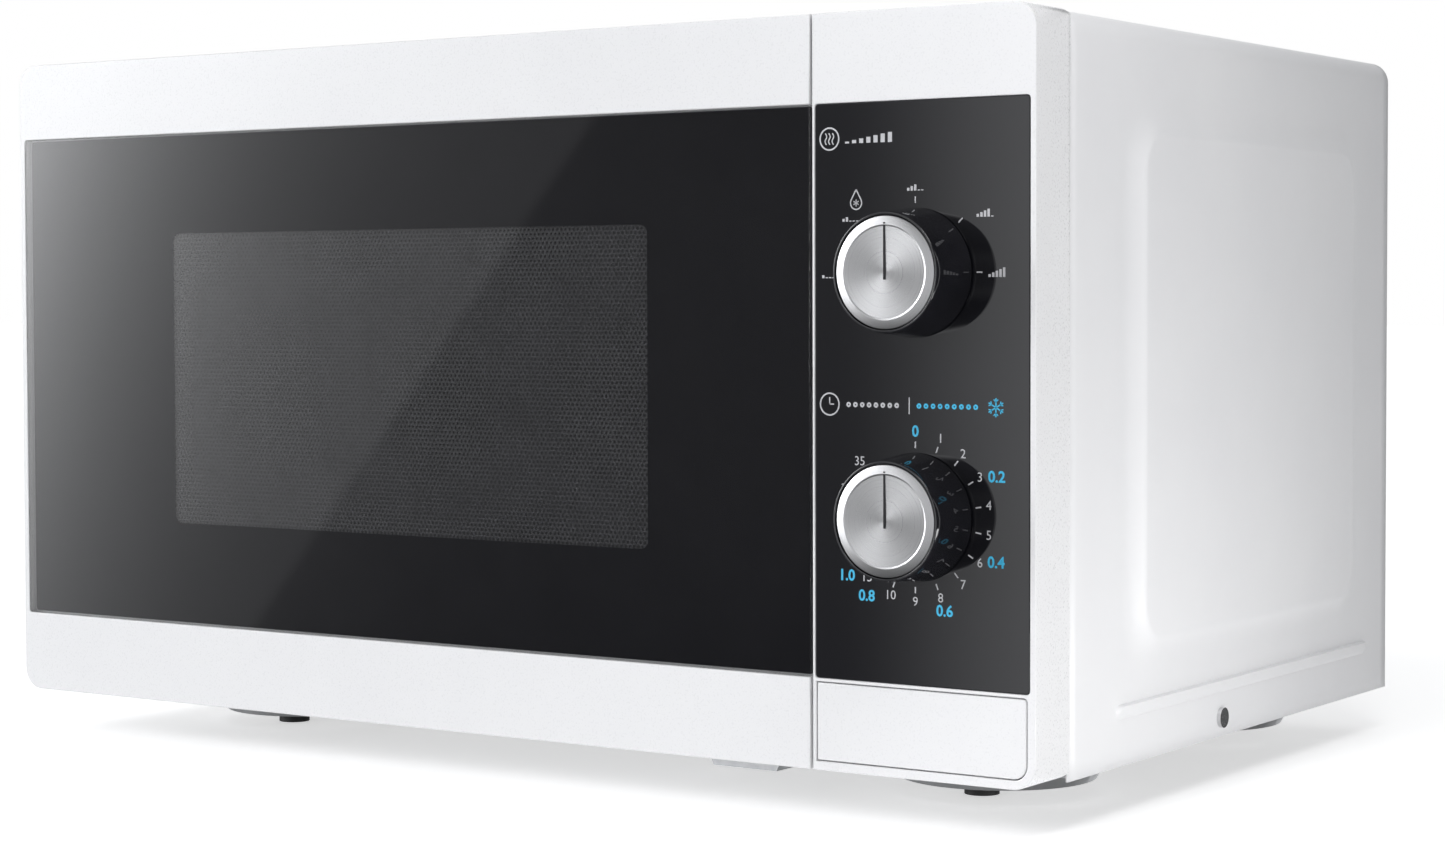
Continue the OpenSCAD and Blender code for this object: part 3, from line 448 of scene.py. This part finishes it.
def buildCover():
    low, high = (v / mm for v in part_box("wrap_cover"))
    halfWidth = high.x - cover["fieldHeight"]
    front, back = low.y, high.y
    fieldY = (front + cover["fieldFront"], back - cover["fieldBack"])
    fieldZ = (cover["fieldBottom"], cover["fieldTop"])
    fieldRadius, corner = cover["fieldRadius"], cover["cornerRadius"]
    beadY = (front + cover["beadFront"] + cover["beadHalf"], back - cover["beadBack"] - cover["beadHalf"])

    def pressed(t):
        # Height across the slope of the field, 0 to 1: a soft foot and a crisp lip
        lip, power = cover["fieldLip"], cover["fieldPower"]
        start = 1 - lip
        steepest = start ** (power - 1)
        total = start ** power / power + steepest * lip / 2
        if t < start:
            return t ** power / power / total
        return 1 - steepest * (1 - t) ** 2 / (2 * lip) / total

    def outward(y, z):
        # How far the side stands out of its plane at y, z
        middle = Vector(((fieldY[0] + fieldY[1]) / 2, (fieldZ[0] + fieldZ[1]) / 2))
        half = Vector(((fieldY[1] - fieldY[0]) / 2, (fieldZ[1] - fieldZ[0]) / 2))
        dy = abs(y - middle.x) - half.x + fieldRadius
        dz = abs(z - middle.y) - half.y + fieldRadius
        inside = fieldRadius - math.hypot(max(dy, 0), max(dz, 0)) - min(max(dy, dz), 0)
        rise = cover["fieldHeight"] * pressed(min(max(inside / cover["fieldEdge"], 0), 1))
        gap = math.hypot(y - min(max(y, beadY[0]), beadY[1]), z - cover["beadHeight"])
        if gap < cover["beadHalf"]:
            # The bead is deepest along its top edge and runs out towards its lower edge
            lean = 0.5 + (z - cover["beadHeight"]) / (2 * cover["beadHalf"])
            wall = min(1, (cover["beadHalf"] - gap) / cover["beadWall"])
            rise -= cover["beadDepth"] * wall * (cover["beadFoot"] + (1 - cover["beadFoot"]) * lean)
        return rise

    def marks(start, stop, slopes, beadPlaces):
        # Even grid lines, closer ones over the slopes of the field and at the bead
        count = round((stop - start) / cover["gridStep"])
        lines = [start + (stop - start) * k / count for k in range(count + 1)]
        for edge, inward in zip(slopes, (1, -1)):
            lines += [edge + 2 * cover["fieldEdge"] * k / cover["fineSteps"] * inward
                      for k in range(cover["fineSteps"] + 1)]
        for place in beadPlaces:
            lines += [place + side * shift for shift in cover["beadLines"] for side in (-1, 1)]
        kept = [start]
        for line in sorted(lines):
            if kept[-1] + cover["lineGap"] < line < stop - cover["lineGap"]:
                kept.append(line)
        return kept + [stop]

    sideTop = high.z - corner
    zLines = marks(low.z, sideTop, fieldZ, [cover["beadHeight"]])
    yLines = marks(front, back, fieldY, beadY)
    turns = [math.pi / 2 * k / cover["sideSegments"] for k in range(1, cover["sideSegments"] + 1)]
    arc = [(halfWidth - corner * (1 - math.cos(a)), sideTop + corner * math.sin(a)) for a in turns]
    topX = halfWidth - corner
    half = [(halfWidth, z, True) for z in zLines] + [(x, z, False) for x, z in arc]
    across = [(topX - 2 * topX * k / cover["topSegments"], high.z, False)
              for k in range(1, cover["topSegments"])]
    path = half + across + [(-x, z, side) for x, z, side in reversed(half)]
    verts = []
    for y in yLines:
        for x, z, side in path:
            push = outward(y, z) if side else 0
            verts.append(((x + math.copysign(push, x)) * mm, y * mm, z * mm))
    width = len(path)
    faces = [(r * width + c, r * width + c + 1, (r + 1) * width + c + 1, (r + 1) * width + c)
             for r in range(len(yLines) - 1) for c in range(width - 1)]
    piece = makePiece("coverShell", verts, faces, "whitePaint", "cabinet",
                      cover["smoothTo"])
    thick = piece.modifiers.new("sheet", "SOLIDIFY")
    thick.thickness = cover["sheet"] * mm
    thick.offset = -1
    work = bmesh.new()
    work.from_mesh(piece.data)
    if sum(f.normal.x for f in work.faces if f.calc_center_median().x > 0.2) < 0:
        bmesh.ops.reverse_faces(work, faces=work.faces)
    work.to_mesh(piece.data)
    work.free()
    applyModifiers(piece)
    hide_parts("wrap_cover")


buildCover()
print("cover built")


# The moulded front and its glass: the sharp front edges are rounded by these widths in mm
frontEdges = {"control_bezel": ("whitePlastic", 0.35), "door_frame": ("whitePlastic", 0.35),
              "door_button": ("whitePlastic", 0.45), "control_glass": ("panelGlass", 0.3),
              "door_glass": ("doorTint", 0.3)}
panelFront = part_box("control_glass")[0].y


def onFront(a, b):
    return max(a.y, b.y) < panelFront + 0.05 * mm


for nodeName, (finishName, width) in frontEdges.items():
    refined(nodeName, finishName, width * mm, onFront)
print("front built")


# The black print on the back of the door glass, with its clear window
doorPrint = {"window": (-142.0, 74.0, 85.0, 192.7), "windowRadius": 3.0, "edge": 0.4, "edgeRadius": 1.5,
             "depth": 0.12, "inset": 0.01}


def roundedBox(x0, x1, z0, z1, radius, steps=6):
    points = []
    corners = ((x1 - radius, z1 - radius, 0), (x0 + radius, z1 - radius, 90),
               (x0 + radius, z0 + radius, 180), (x1 - radius, z0 + radius, 270))
    for cx, cz, start in corners:
        for k in range(steps + 1):
            angle = math.radians(start + 90 * k / steps)
            points.append(((cx + radius * math.cos(angle)) * mm, (cz + radius * math.sin(angle)) * mm))
    return points


# A flat ring between two outlines with the same number of points
def flatRing(name, outer, inner, y0, y1, finishName, body):
    count = len(outer)
    verts = [(x, y, z) for y in (y0, y1) for loop in (outer, inner) for x, z in loop]
    faces = []
    for k in range(count):
        n = (k + 1) % count
        faces.append((k, n, count + n, count + k))
        faces.append((2 * count + k, 3 * count + k, 3 * count + n, 2 * count + n))
        faces.append((k, 2 * count + k, 2 * count + n, n))
        faces.append((count + k, count + n, 3 * count + n, 3 * count + k))
    piece = makePiece(name, verts, faces, finishName, body)
    tidyNormals(piece)
    return piece


def buildDoorPrint():
    low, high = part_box("door_glass")
    x0, x1, z0, z1 = doorPrint["window"]
    edge = doorPrint["edge"]
    outer = roundedBox(low.x / mm + edge, high.x / mm - edge, low.z / mm + edge, high.z / mm - edge,
                       doorPrint["edgeRadius"])
    inner = roundedBox(x0, x1, z0, z1, doorPrint["windowRadius"])
    y0 = high.y - doorPrint["depth"] * mm
    y1 = high.y - doorPrint["inset"] * mm
    flatRing("doorPrint", outer, inner, y0, y1, "blackInk", "door")


buildDoorPrint()


# The punched steel screens behind the window: staggered six-sided holes, one sheet close to the glass
# and a thin one in the place of the CAD sheet
screen = {"pitch": 1.75, "hole": 0.56, "gap": 0.9, "sheet": 0.3, "left": -149.2, "right": 81.2,
          "bottom": 78, "top": 199}


def buildScreen(name, y, low, high, sheet=0.0):
    pitch = screen["pitch"] * mm
    rowStep = pitch * math.sqrt(3) / 2
    columns = int((high.x - low.x) / pitch) - 1
    rows = int((high.z - low.z) / rowStep) - 1
    startX = (low.x + high.x - columns * pitch) / 2
    startZ = (low.z + high.z - rows * rowStep) / 2
    cellRadius = pitch / math.sqrt(3)
    verts, faces, known = [], [], {}

    def vertexAt(x, z):
        key = (round(x * 1e7), round(z * 1e7))
        if key not in known:
            known[key] = len(verts)
            verts.append((x, y, z))
        return known[key]

    for row in range(rows + 1):
        for column in range(columns):
            cx = startX + (column + 0.25 + 0.5 * (row % 2)) * pitch
            cz = startZ + row * rowStep
            outer, inner = [], []
            for k in range(6):
                angle = math.radians(60 * k + 30)
                outer.append(vertexAt(cx + cellRadius * math.cos(angle), cz + cellRadius * math.sin(angle)))
                inner.append(len(verts))
                verts.append((cx + screen["hole"] * mm * math.cos(angle), y,
                              cz + screen["hole"] * mm * math.sin(angle)))
            for k in range(6):
                n = (k + 1) % 6
                faces.append((outer[k], outer[n], inner[n], inner[k]))
    piece = makePiece(name, verts, faces, "screenPaint", "door")
    if sheet:
        thick = piece.modifiers.new("sheet", "SOLIDIFY")
        thick.thickness = sheet * mm
        thick.offset = 1
        applyModifiers(piece)
    return piece


screenLow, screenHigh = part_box("door_screen")
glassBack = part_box("door_glass")[1].y
frontLow = Vector((screen["left"], 0, screen["bottom"])) * mm
frontHigh = Vector((screen["right"], 0, screen["top"])) * mm
buildScreen("punchedScreen", glassBack + screen["gap"] * mm, frontLow, frontHigh, screen["sheet"])
innerScreen = buildScreen("innerScreen", (screenLow.y + screenHigh.y) / 2, screenLow, screenHigh)
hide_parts("door_screen")
print("door window built")


# The dials: a turned black body with a bright cap let into it, and a pointer on the cap
dial = {"baseRadius": 20.2, "rimRadius": 18.35, "capRadius": 17.6, "faceRadius": 14.6, "proud": 19.0,
        "seat": 16.9, "capFoot": 17.0, "floorGap": 0.4, "wall": 1.9, "bodySegments": 128,
        "capSegments": 160, "pointerTop": 15.3, "pointerBottom": -2.2, "pointerHalf": 0.36,
        "pointerFoot": 0.6, "pointerDepth": 0.56}


def buildDial(name, shaftNode, knobNode, capNode, body):
    low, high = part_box(shaftNode)
    centre = Vector(((low.x + high.x) / 2, panelFront, (low.z + high.z) / 2))
    proud = dial["proud"]
    rim, cap, face, base = dial["rimRadius"], dial["capRadius"], dial["faceRadius"], dial["baseRadius"]
    seat, capFoot, gap = dial["seat"], dial["capFoot"], dial["floorGap"]
    # (radius, distance from the panel) from the axis round the outside and back, with a rounding for each
    outline = filleted(
        [(0, seat), (cap + 0.1, seat), (cap + 0.1, proud - 0.15), (rim, proud - 0.15),
         (rim + 0.35, proud - 2.2), (base - 0.35, 3.0), (base, gap), (base - dial["wall"], gap),
         (rim - 2, proud - 4), (0, proud - 4)],
        [0, 0, 0.15, 0.3, 1.2, 2.5, 0.4, 0.3, 1.0, 0], 5)
    turned(name + "Body", [(r * mm, h * mm) for r, h in outline], centre, (0, -1, 0), "dialBlack", body,
           dial["bodySegments"])
    finishes[name + "Spun"] = makeSpunMetal(name + "Spun", centre)
    capOutline = filleted(
        [(0, capFoot), (cap, capFoot), (cap, proud - 1.0), (cap - 0.35, proud - 0.45), (face, proud),
         (face - 0.5, proud - 0.12), (0, proud - 0.35)],
        [0, 0.1, 0.25, 0.3, 0.25, 0.3, 0], 4)
    capPiece = turned(name + "Face", [(r * mm, h * mm) for r, h in capOutline], centre, (0, -1, 0),
                      name + "Spun", body, dial["capSegments"])
    # The pointer: a black bar let into the face
    work = bmesh.new()
    half = dial["pointerHalf"]
    top, bottom = dial["pointerTop"], dial["pointerBottom"]
    flatShape(work, [((centre.x / mm + x) * mm, (centre.z / mm + z) * mm)
                     for x, z in ((-half, bottom), (half, bottom), (half, top), (-half, top))],
              centre.y - (proud - dial["pointerFoot"]) * mm, dial["pointerDepth"] * mm)
    mesh = bpy.data.meshes.new(name + "Pointer")
    work.to_mesh(mesh)
    work.free()
    pointer = bpy.data.objects.new(name + "Pointer", mesh)
    bpy.context.scene.collection.objects.link(pointer)
    dress(pointer, "dialBlack")
    tidyNormals(pointer)
    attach(pointer, body)
    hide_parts(knobNode)
    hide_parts(capNode)
    return centre


powerCentre = buildDial("powerDial", "power_shaft", "power_knob", "power_cap", "power_dial")
timerCentre = buildDial("timerDial", "timer_shaft", "timer_knob", "timer_cap", "timer_dial")
print("dials built")


# The two printed scales; sizes in mm, angles in degrees clockwise from the top
scales = {"tickInner": 21.6, "tickOuter": 23.6, "tickHalf": 0.22, "minuteRadius": 26.3,
          "minuteSize": 4.1, "zeroRadius": 26.7, "kiloSize": 4.9, "kiloBold": 0.12, "step": 20,
          "fiveStep": 22, "inkDepth": 0.03, "headLeft": 31.2, "powerHead": 218.3, "timerHead": 134.7,
          "headRadius": 3.45, "headLine": 0.25, "fineHalf": 0.2, "hairHalf": 0.16, "dotRadius": 0.55,
          "dotHalf": 0.3, "dotStep": 2.5, "dotSteps": 12, "levelStep": 1.25, "levelHalf": 0.42,
          "levelFoot": 1.5}


class Print:
    # Collects flat shapes in one ink, placed round a centre on the panel glass
    def __init__(self, name, finishName, slotName):
        self.name, self.finishName, self.slotName = name, finishName, slotName
        self.work = bmesh.new()
        self.front = panelFront

    def shape(self, points):
        flatShape(self.work, [(x * mm, z * mm) for x, z in points], self.front, scales["inkDepth"] * mm)

    def bar(self, x0, z0, x1, z1, half):
        along = Vector((x1 - x0, z1 - z0)).normalized()
        side = Vector((-along.y, along.x)) * half
        self.shape([(x0 - side.x, z0 - side.y), (x1 - side.x, z1 - side.y),
                    (x1 + side.x, z1 + side.y), (x0 + side.x, z0 + side.y)])

    def ring(self, x, z, radius, half, steps=32):
        # One closed ring with a square section
        loops = []
        inner, outer = radius - half, radius + half
        for distance, sunk in ((inner, 0), (outer, 0), (outer, 1), (inner, 1)):
            loop = []
            for k in range(steps):
                angle = 2 * math.pi * k / steps
                loop.append(self.work.verts.new(((x + distance * math.cos(angle)) * mm,
                                                 self.front - sunk * scales["inkDepth"] * mm,
                                                 (z + distance * math.sin(angle)) * mm)))
            loops.append(loop)
        for first, second in zip(loops, loops[1:] + loops[:1]):
            for k in range(steps):
                n = (k + 1) % steps
                self.work.faces.new((first[k], first[n], second[n], second[k]))

    def number(self, value, x, z, size, bold=0.0):
        curve = bpy.data.curves.new("figure", "FONT")
        curve.body = value
        curve.size = size * mm
        curve.align_x, curve.align_y = "CENTER", "CENTER"
        curve.extrude = scales["inkDepth"] / 2 * mm
        curve.offset = bold * mm
        curve.resolution_u = 3
        figure = bpy.data.objects.new("figure", curve)
        bpy.context.scene.collection.objects.link(figure)
        bpy.context.view_layer.update()
        mesh = figure.to_mesh()
        place = Matrix.Translation((x * mm, self.front - scales["inkDepth"] / 2 * mm, z * mm))
        mesh.transform(place @ Matrix.Rotation(math.pi / 2, 4, "X"))
        self.work.from_mesh(mesh)
        figure.to_mesh_clear()
        bpy.data.objects.remove(figure)

    def finish(self):
        bmesh.ops.recalc_face_normals(self.work, faces=self.work.faces)
        mesh = bpy.data.meshes.new(self.name)
        self.work.to_mesh(mesh)
        self.work.free()
        piece = bpy.data.objects.new(self.name, mesh)
        bpy.context.scene.collection.objects.link(piece)
        dress(piece, self.finishName)
        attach(piece, "cabinet")


def around(centre, degrees, radius):
    angle = math.radians(degrees)
    return centre.x / mm + radius * math.sin(angle), centre.z / mm + radius * math.cos(angle)


def printScales():
    white = Print("scalePrintWhite", "printWhite", "white_plastic")
    blue = Print("scalePrintBlue", "printBlue", "white_plastic")
    fine, hair = scales["fineHalf"], scales["hairHalf"]
    powerX, powerZ = powerCentre.x / mm, powerCentre.z / mm
    timerX, timerZ = timerCentre.x / mm, timerCentre.z / mm
    headX, upperZ, lowerZ = powerX - scales["headLeft"], scales["powerHead"], scales["timerHead"]

    def tick(ink, centre, degrees):
        inner = around(centre, degrees, scales["tickInner"])
        outer = around(centre, degrees, scales["tickOuter"])
        ink.bar(*inner, *outer, scales["tickHalf"])

    def dots(ink, x, z, count):
        for k in range(count):
            spot = x + scales["dotStep"] * k
            ink.ring(spot, z, scales["dotRadius"], scales["dotHalf"], scales["dotSteps"])

    def spokes(ink, x, z, reach, half):
        for degrees in (30, 90, 150):
            dx, dz = reach * math.cos(math.radians(degrees)), reach * math.sin(math.radians(degrees))
            ink.bar(x - dx, z - dz, x + dx, z + dz, half)

    # Power: five ticks, each with a small stack of level bars
    levelPlaces = {-90: (-31.0, 0), -45: (-23.5, 17.7), 0: (0, 26.9), 45: (24.5, 18.4), 90: (28.6, 0)}
    for count, (degrees, (dx, dz)) in enumerate(levelPlaces.items(), 1):
        tick(white, powerCentre, degrees)
        foot = powerZ + dz - scales["levelFoot"]
        for k in range(5):
            left = powerX + dx + (k - 2) * scales["levelStep"]
            tall = 0.9 + 0.5 * k if k < count else 0.3
            white.bar(left, foot, left, foot + tall, scales["levelHalf"])
    # Heading of the power dial: a heat sign and rising bars
    white.ring(headX, upperZ, scales["headRadius"], scales["headLine"])
    for shift in (-1.3, 0, 1.3):
        for k in range(6):
            z0, z1 = upperZ - 1.8 + 0.6 * k, upperZ - 1.2 + 0.6 * k
            wave = [0.35 * math.sin(2.1 * (z - upperZ)) for z in (z0, z1)]
            white.bar(headX + shift + wave[0], z0, headX + shift + wave[1], z1, fine)
    for k in range(7):
        barX = headX + 6.5 + 2.6 * k
        white.bar(barX, upperZ - 1.6, barX, upperZ - 1.0 + 0.42 * k, 0.75)
    # Heading of the timer: a clock and dots, then in blue dots and a flake for thawing
    white.ring(headX, lowerZ, scales["headRadius"], scales["headLine"])
    white.bar(headX, lowerZ - 0.2, headX, lowerZ + 2.2, fine)
    white.bar(headX - 0.2, lowerZ, headX + 1.6, lowerZ, fine)
    dots(white, headX + 7, lowerZ, 8)
    white.bar(headX + 29.0, lowerZ - 2.6, headX + 29.0, lowerZ + 2.6, 0.18)
    dots(blue, headX + 32.5, lowerZ, 9)
    flakeX = headX + 59.5
    spokes(blue, flakeX, lowerZ, 2.9, fine)
    for k in range(6):
        angle = math.radians(60 * k + 30)
        cx, cz = flakeX + 1.7 * math.cos(angle), lowerZ + 1.7 * math.sin(angle)
        for turn in (-45, 45):
            side = angle + math.radians(turn)
            blue.bar(cx, cz, cx + 1.1 * math.cos(side), cz + 1.1 * math.sin(side), hair)
    # A drop with a flake beside the second power level
    dropX, dropZ = powerX - 21.4, powerZ + 22.6
    drop = [(0, 3.6)] + [(2.05 * math.cos(math.radians(a)), -0.6 + 2.05 * math.sin(math.radians(a)))
                         for a in range(25, -206, -23)]
    for (x0, z0), (x1, z1) in zip(drop, drop[1:] + drop[:1]):
        white.bar(dropX + x0, dropZ + z0, dropX + x1, dropZ + z1, fine)
    spokes(white, dropX, dropZ - 0.6, 1.1, 0.15)
    # Timer: a minute at each step up to ten, then five at each step
    minutes = {scales["step"] * k: str(k) for k in range(1, 11)}
    minutes.update({scales["step"] * 10 + scales["fiveStep"] * k: str(10 + 5 * k) for k in range(1, 6)})
    tick(white, timerCentre, 0)
    for degrees, value in minutes.items():
        tick(white, timerCentre, degrees)
        white.number(value, *around(timerCentre, degrees, scales["minuteRadius"]), scales["minuteSize"])
    blue.number("0", *around(timerCentre, 0, scales["zeroRadius"]), scales["kiloSize"], scales["kiloBold"])
    kilos = {"0.2": (28.6, 13.4), "0.4": (28.4, -12.8), "0.6": (10.4, -28.7), "0.8": (-17.6, -25.4),
             "1.0": (-24.9, -19.3)}
    for value, (dx, dz) in kilos.items():
        blue.number(value, timerX + dx, timerZ + dz, scales["kiloSize"], scales["kiloBold"])
    white.finish()
    blue.finish()


printScales()
print("scales printed")


# The floor is pale paper with a painted pool of light: its emission glows brightest near the oven and fades
# further out, lighting the oven from below; the camera sees it brighter than the oven does, which washes
# out its shadows
floor = {"size": 14.0, "nearGlow": 0.38, "farGlow": 0.05, "glowStart": 0.2, "glowEnd": 0.9,
         "seenGlow": 0.52}
floorMesh = bpy.data.meshes.new("studioFloor")
reach = floor["size"]
floorMesh.from_pydata([(-reach, -reach, 0), (reach, -reach, 0), (reach, reach, 0), (-reach, reach, 0)], [],
                      [(0, 1, 2, 3)])
floorPiece = bpy.data.objects.new("studioFloor", floorMesh)
bpy.context.scene.collection.objects.link(floorPiece)
finishes["floorPaperPaintedGlow"] = makeFinish("floorPaperPaintedGlow", {
    "dark": (0.80, 0.80, 0.80), "light": (0.82, 0.82, 0.82), "cloudScale": 2, "rough": (0.7, 0.85),
    "grainScale": 200, "grainDepth": 0.00002, "shader": {"Emission Color": (1, 1, 1, 1)}})
paper = finishes["floorPaperPaintedGlow"].node_tree
distance = addNode(paper, "ShaderNodeVectorMath", operation="LENGTH")
paper.links.new(addNode(paper, "ShaderNodeTexCoord").outputs["Object"], distance.inputs[0])
seen = addNode(paper, "ShaderNodeMath", operation="MULTIPLY")
paper.links.new(addNode(paper, "ShaderNodeLightPath").outputs["Is Camera Ray"], seen.inputs[0])
seen.inputs[1].default_value = floor["seenGlow"]
brighter = addNode(paper, "ShaderNodeMath", operation="MAXIMUM")
# Painted pool of light: the floor's emission falls from nearGlow close to the oven to farGlow further out
paper.links.new(spread(paper, distance.outputs["Value"], floor["nearGlow"], floor["farGlow"],
                       floor["glowStart"], floor["glowEnd"]), brighter.inputs[0])
paper.links.new(seen.outputs["Value"], brighter.inputs[1])
paper.links.new(brighter.outputs["Value"], paper.nodes["Principled BSDF"].inputs["Emission Strength"])
dress(floorPiece, "floorPaperPaintedGlow")
floorPiece.visible_glossy = False

# The room: white to the camera; for the oven a tall soft window at the front left, a pale screen
# ahead of it and a dim room elsewhere. Spans are in degrees, save those of behind, frontHalf and right,
# which are parts of an axis.
studio = {"backdrop": 1.0, "tint": (0.97, 0.98, 1.0, 1), "dim": 0.27, "overhead": 0.9,
          "overheadSpan": (15, 80), "windowStart": 47.2, "windowGlow": 7.4, "windowSlope": 0.452,
          "windowTop": 1.2, "windowEnd": (58, 68), "windowHeight": (18, 32),
          "riseSlope": 0.144, "riseAngle": 2.7, "riseTop": 1.5,
          "behind": 0.7, "behindSpan": (-0.2, -0.9), "behindSide": (0.0, 0.3), "behindHeight": (16, 30),
          "curtain": 0.24, "curtainEdge": (38.5, 38.9), "curtainLean": 0.675, "frontHalf": (0.0, 0.3),
          "screenGlow": 1.25, "screenLeft": (31.8, 27.0), "screenRight": (-25, -5),
          "screenFoot": (-20, -11), "screenHead": (18, 8),
          "floorSide": 0.12, "floorSpan": (0, -12), "rightShade": 0.1, "rightSpan": (0.1, 0.8)}
world = bpy.data.worlds.new("studio")
bpy.context.scene.world = world
world.use_nodes = True
sky = world.node_tree


# One step of arithmetic; each part is a number or another node's output
def combine(operation, first, second=0):
    step = addNode(sky, "ShaderNodeMath", operation=operation)
    for k, part in enumerate((first, second)):
        if isinstance(part, (int, float)):
            step.inputs[k].default_value = part
        else:
            sky.links.new(part, step.inputs[k])
    return step.outputs["Value"]


def growing(value, start, slope):
    return combine("EXPONENT", combine("MULTIPLY", combine("SUBTRACT", value, start), slope))


def fade(value, start, stop, low=0.0, high=1.0):
    ranged = addNode(sky, "ShaderNodeMapRange", interpolation_type="SMOOTHSTEP")
    for name, number in (("From Min", start), ("From Max", stop), ("To Min", low), ("To Max", high)):
        ranged.inputs[name].default_value = number
    sky.links.new(value, ranged.inputs["Value"])
    return ranged.outputs["Result"]


axes = addNode(sky, "ShaderNodeSeparateXYZ")
sky.links.new(addNode(sky, "ShaderNodeTexCoord").outputs["Generated"], axes.inputs["Vector"])
awayX = combine("MULTIPLY", axes.outputs["X"], -1.0)
awayY = combine("MULTIPLY", axes.outputs["Y"], -1.0)
aside = combine("MULTIPLY", combine("ARCTAN2", awayX, awayY), 180 / math.pi)  # degrees left of ahead
height = combine("MULTIPLY", combine("ARCSINE", axes.outputs["Z"]), 180 / math.pi)  # degrees above level
glow = combine("MINIMUM", growing(aside, studio["windowStart"], studio["windowSlope"]), studio["windowTop"])
rise = combine("MINIMUM", growing(height, studio["riseAngle"], studio["riseSlope"]), studio["riseTop"])
glow = combine("MULTIPLY", combine("MULTIPLY", glow, rise), studio["windowGlow"])
glow = combine("MULTIPLY", glow, fade(aside, *studio["windowEnd"], 1.0, 0.0))
glow = combine("MULTIPLY", glow, fade(height, *studio["windowHeight"], 1.0, 0.0))
room = combine("ADD", fade(height, *studio["overheadSpan"], studio["dim"], studio["overhead"]), glow)
rear = combine("MULTIPLY", fade(awayY, *studio["behindSpan"], 0.0, studio["behind"]),
               fade(axes.outputs["X"], *studio["behindSide"], 1.0, 0.0))
room = combine("ADD", room, combine("MULTIPLY", rear, fade(height, *studio["behindHeight"], 1.0, 0.0)))
slant = combine("ADD", aside, combine("MULTIPLY", height, studio["curtainLean"]))
curtain = fade(slant, *studio["curtainEdge"], 0.0, studio["curtain"])
room = combine("ADD", room, combine("MULTIPLY", curtain, fade(awayY, *studio["frontHalf"])))
ahead = combine("MULTIPLY", fade(aside, *studio["screenLeft"]), fade(aside, *studio["screenRight"]))
level = combine("MULTIPLY", fade(height, *studio["screenFoot"]), fade(height, *studio["screenHead"]))
room = combine("ADD", room, combine("MULTIPLY", combine("MULTIPLY", ahead, level), studio["screenGlow"]))
room = combine("SUBTRACT", room, fade(height, *studio["floorSpan"], 0.0, studio["floorSide"]))
room = combine("MULTIPLY", room, fade(axes.outputs["X"], *studio["rightSpan"], 1.0, studio["rightShade"]))
sky.nodes["Background"].inputs["Color"].default_value = studio["tint"]
sky.links.new(room, sky.nodes["Background"].inputs["Strength"])
white = addNode(sky, "ShaderNodeBackground")
white.inputs["Color"].default_value = (1, 1, 1, 1)
white.inputs["Strength"].default_value = studio["backdrop"]
pick = addNode(sky, "ShaderNodeMixShader")
rays = addNode(sky, "ShaderNodeLightPath")
sky.links.new(rays.outputs["Is Camera Ray"], pick.inputs["Fac"])
sky.links.new(sky.nodes["Background"].outputs["Background"], pick.inputs[1])
sky.links.new(white.outputs["Background"], pick.inputs[2])
sky.links.new(pick.outputs["Shader"], sky.nodes["World Output"].inputs["Surface"])


# Two small panels, out of the camera's sight, light the right side from its upper and lower front corner
panels = {"cornerPanel": {"place": (0.41, -0.24, 0.50), "aim": (0.21, -0.12, 0.24), "size": (0.20, 0.20),
                          "power": 0.85},
          "lowPanel": {"place": (0.42, -0.12, 0.012), "aim": (0.22, -0.10, 0.03), "size": (0.30, 0.06),
                       "power": 0.36}}
for name, panel in panels.items():
    light = bpy.data.lights.new(name, "AREA")
    light.shape = "RECTANGLE"
    light.size, light.size_y = panel["size"]
    light.energy = panel["power"]
    lamp = bpy.data.objects.new(name, light)
    lamp.location = panel["place"]
    toAim = Vector(panel["aim"]) - Vector(panel["place"])
    lamp.rotation_euler = toAim.to_track_quat("-Z", "Y").to_euler()
    lamp.visible_camera = False
    bpy.context.scene.collection.objects.link(lamp)

# Angles in degrees; a negative yaw turns from +y towards -x
view = {"place": (0.6322, -0.9377, 0.1689), "yaw": -34.21, "pitch": -2.0, "roll": -0.16,
        "lens": 72.67, "shiftX": 0.0128, "shiftY": -0.0221}
yaw, pitch, roll = (math.radians(view[k]) for k in ("yaw", "pitch", "roll"))
forward = Vector((math.sin(yaw) * math.cos(pitch), math.cos(yaw) * math.cos(pitch), math.sin(pitch)))
right = Vector((math.cos(yaw), -math.sin(yaw), 0))
up = right.cross(forward)
rightRolled = math.cos(roll) * right + math.sin(roll) * up
upRolled = math.cos(roll) * up - math.sin(roll) * right
cameraData = bpy.data.cameras.new("studioCamera")
cameraData.lens, cameraData.sensor_width = view["lens"], 36
cameraData.shift_x, cameraData.shift_y = view["shiftX"], view["shiftY"]
cameraData.clip_start = 0.01
camera = bpy.data.objects.new("studioCamera", cameraData)
turn = Matrix((rightRolled, upRolled, -forward)).transposed().to_4x4()
camera.matrix_world = Matrix.Translation(view["place"]) @ turn
bpy.context.scene.collection.objects.link(camera)
bpy.context.scene.camera = camera
bpy.context.scene.view_settings.view_transform = "Standard"
print("studio ready")
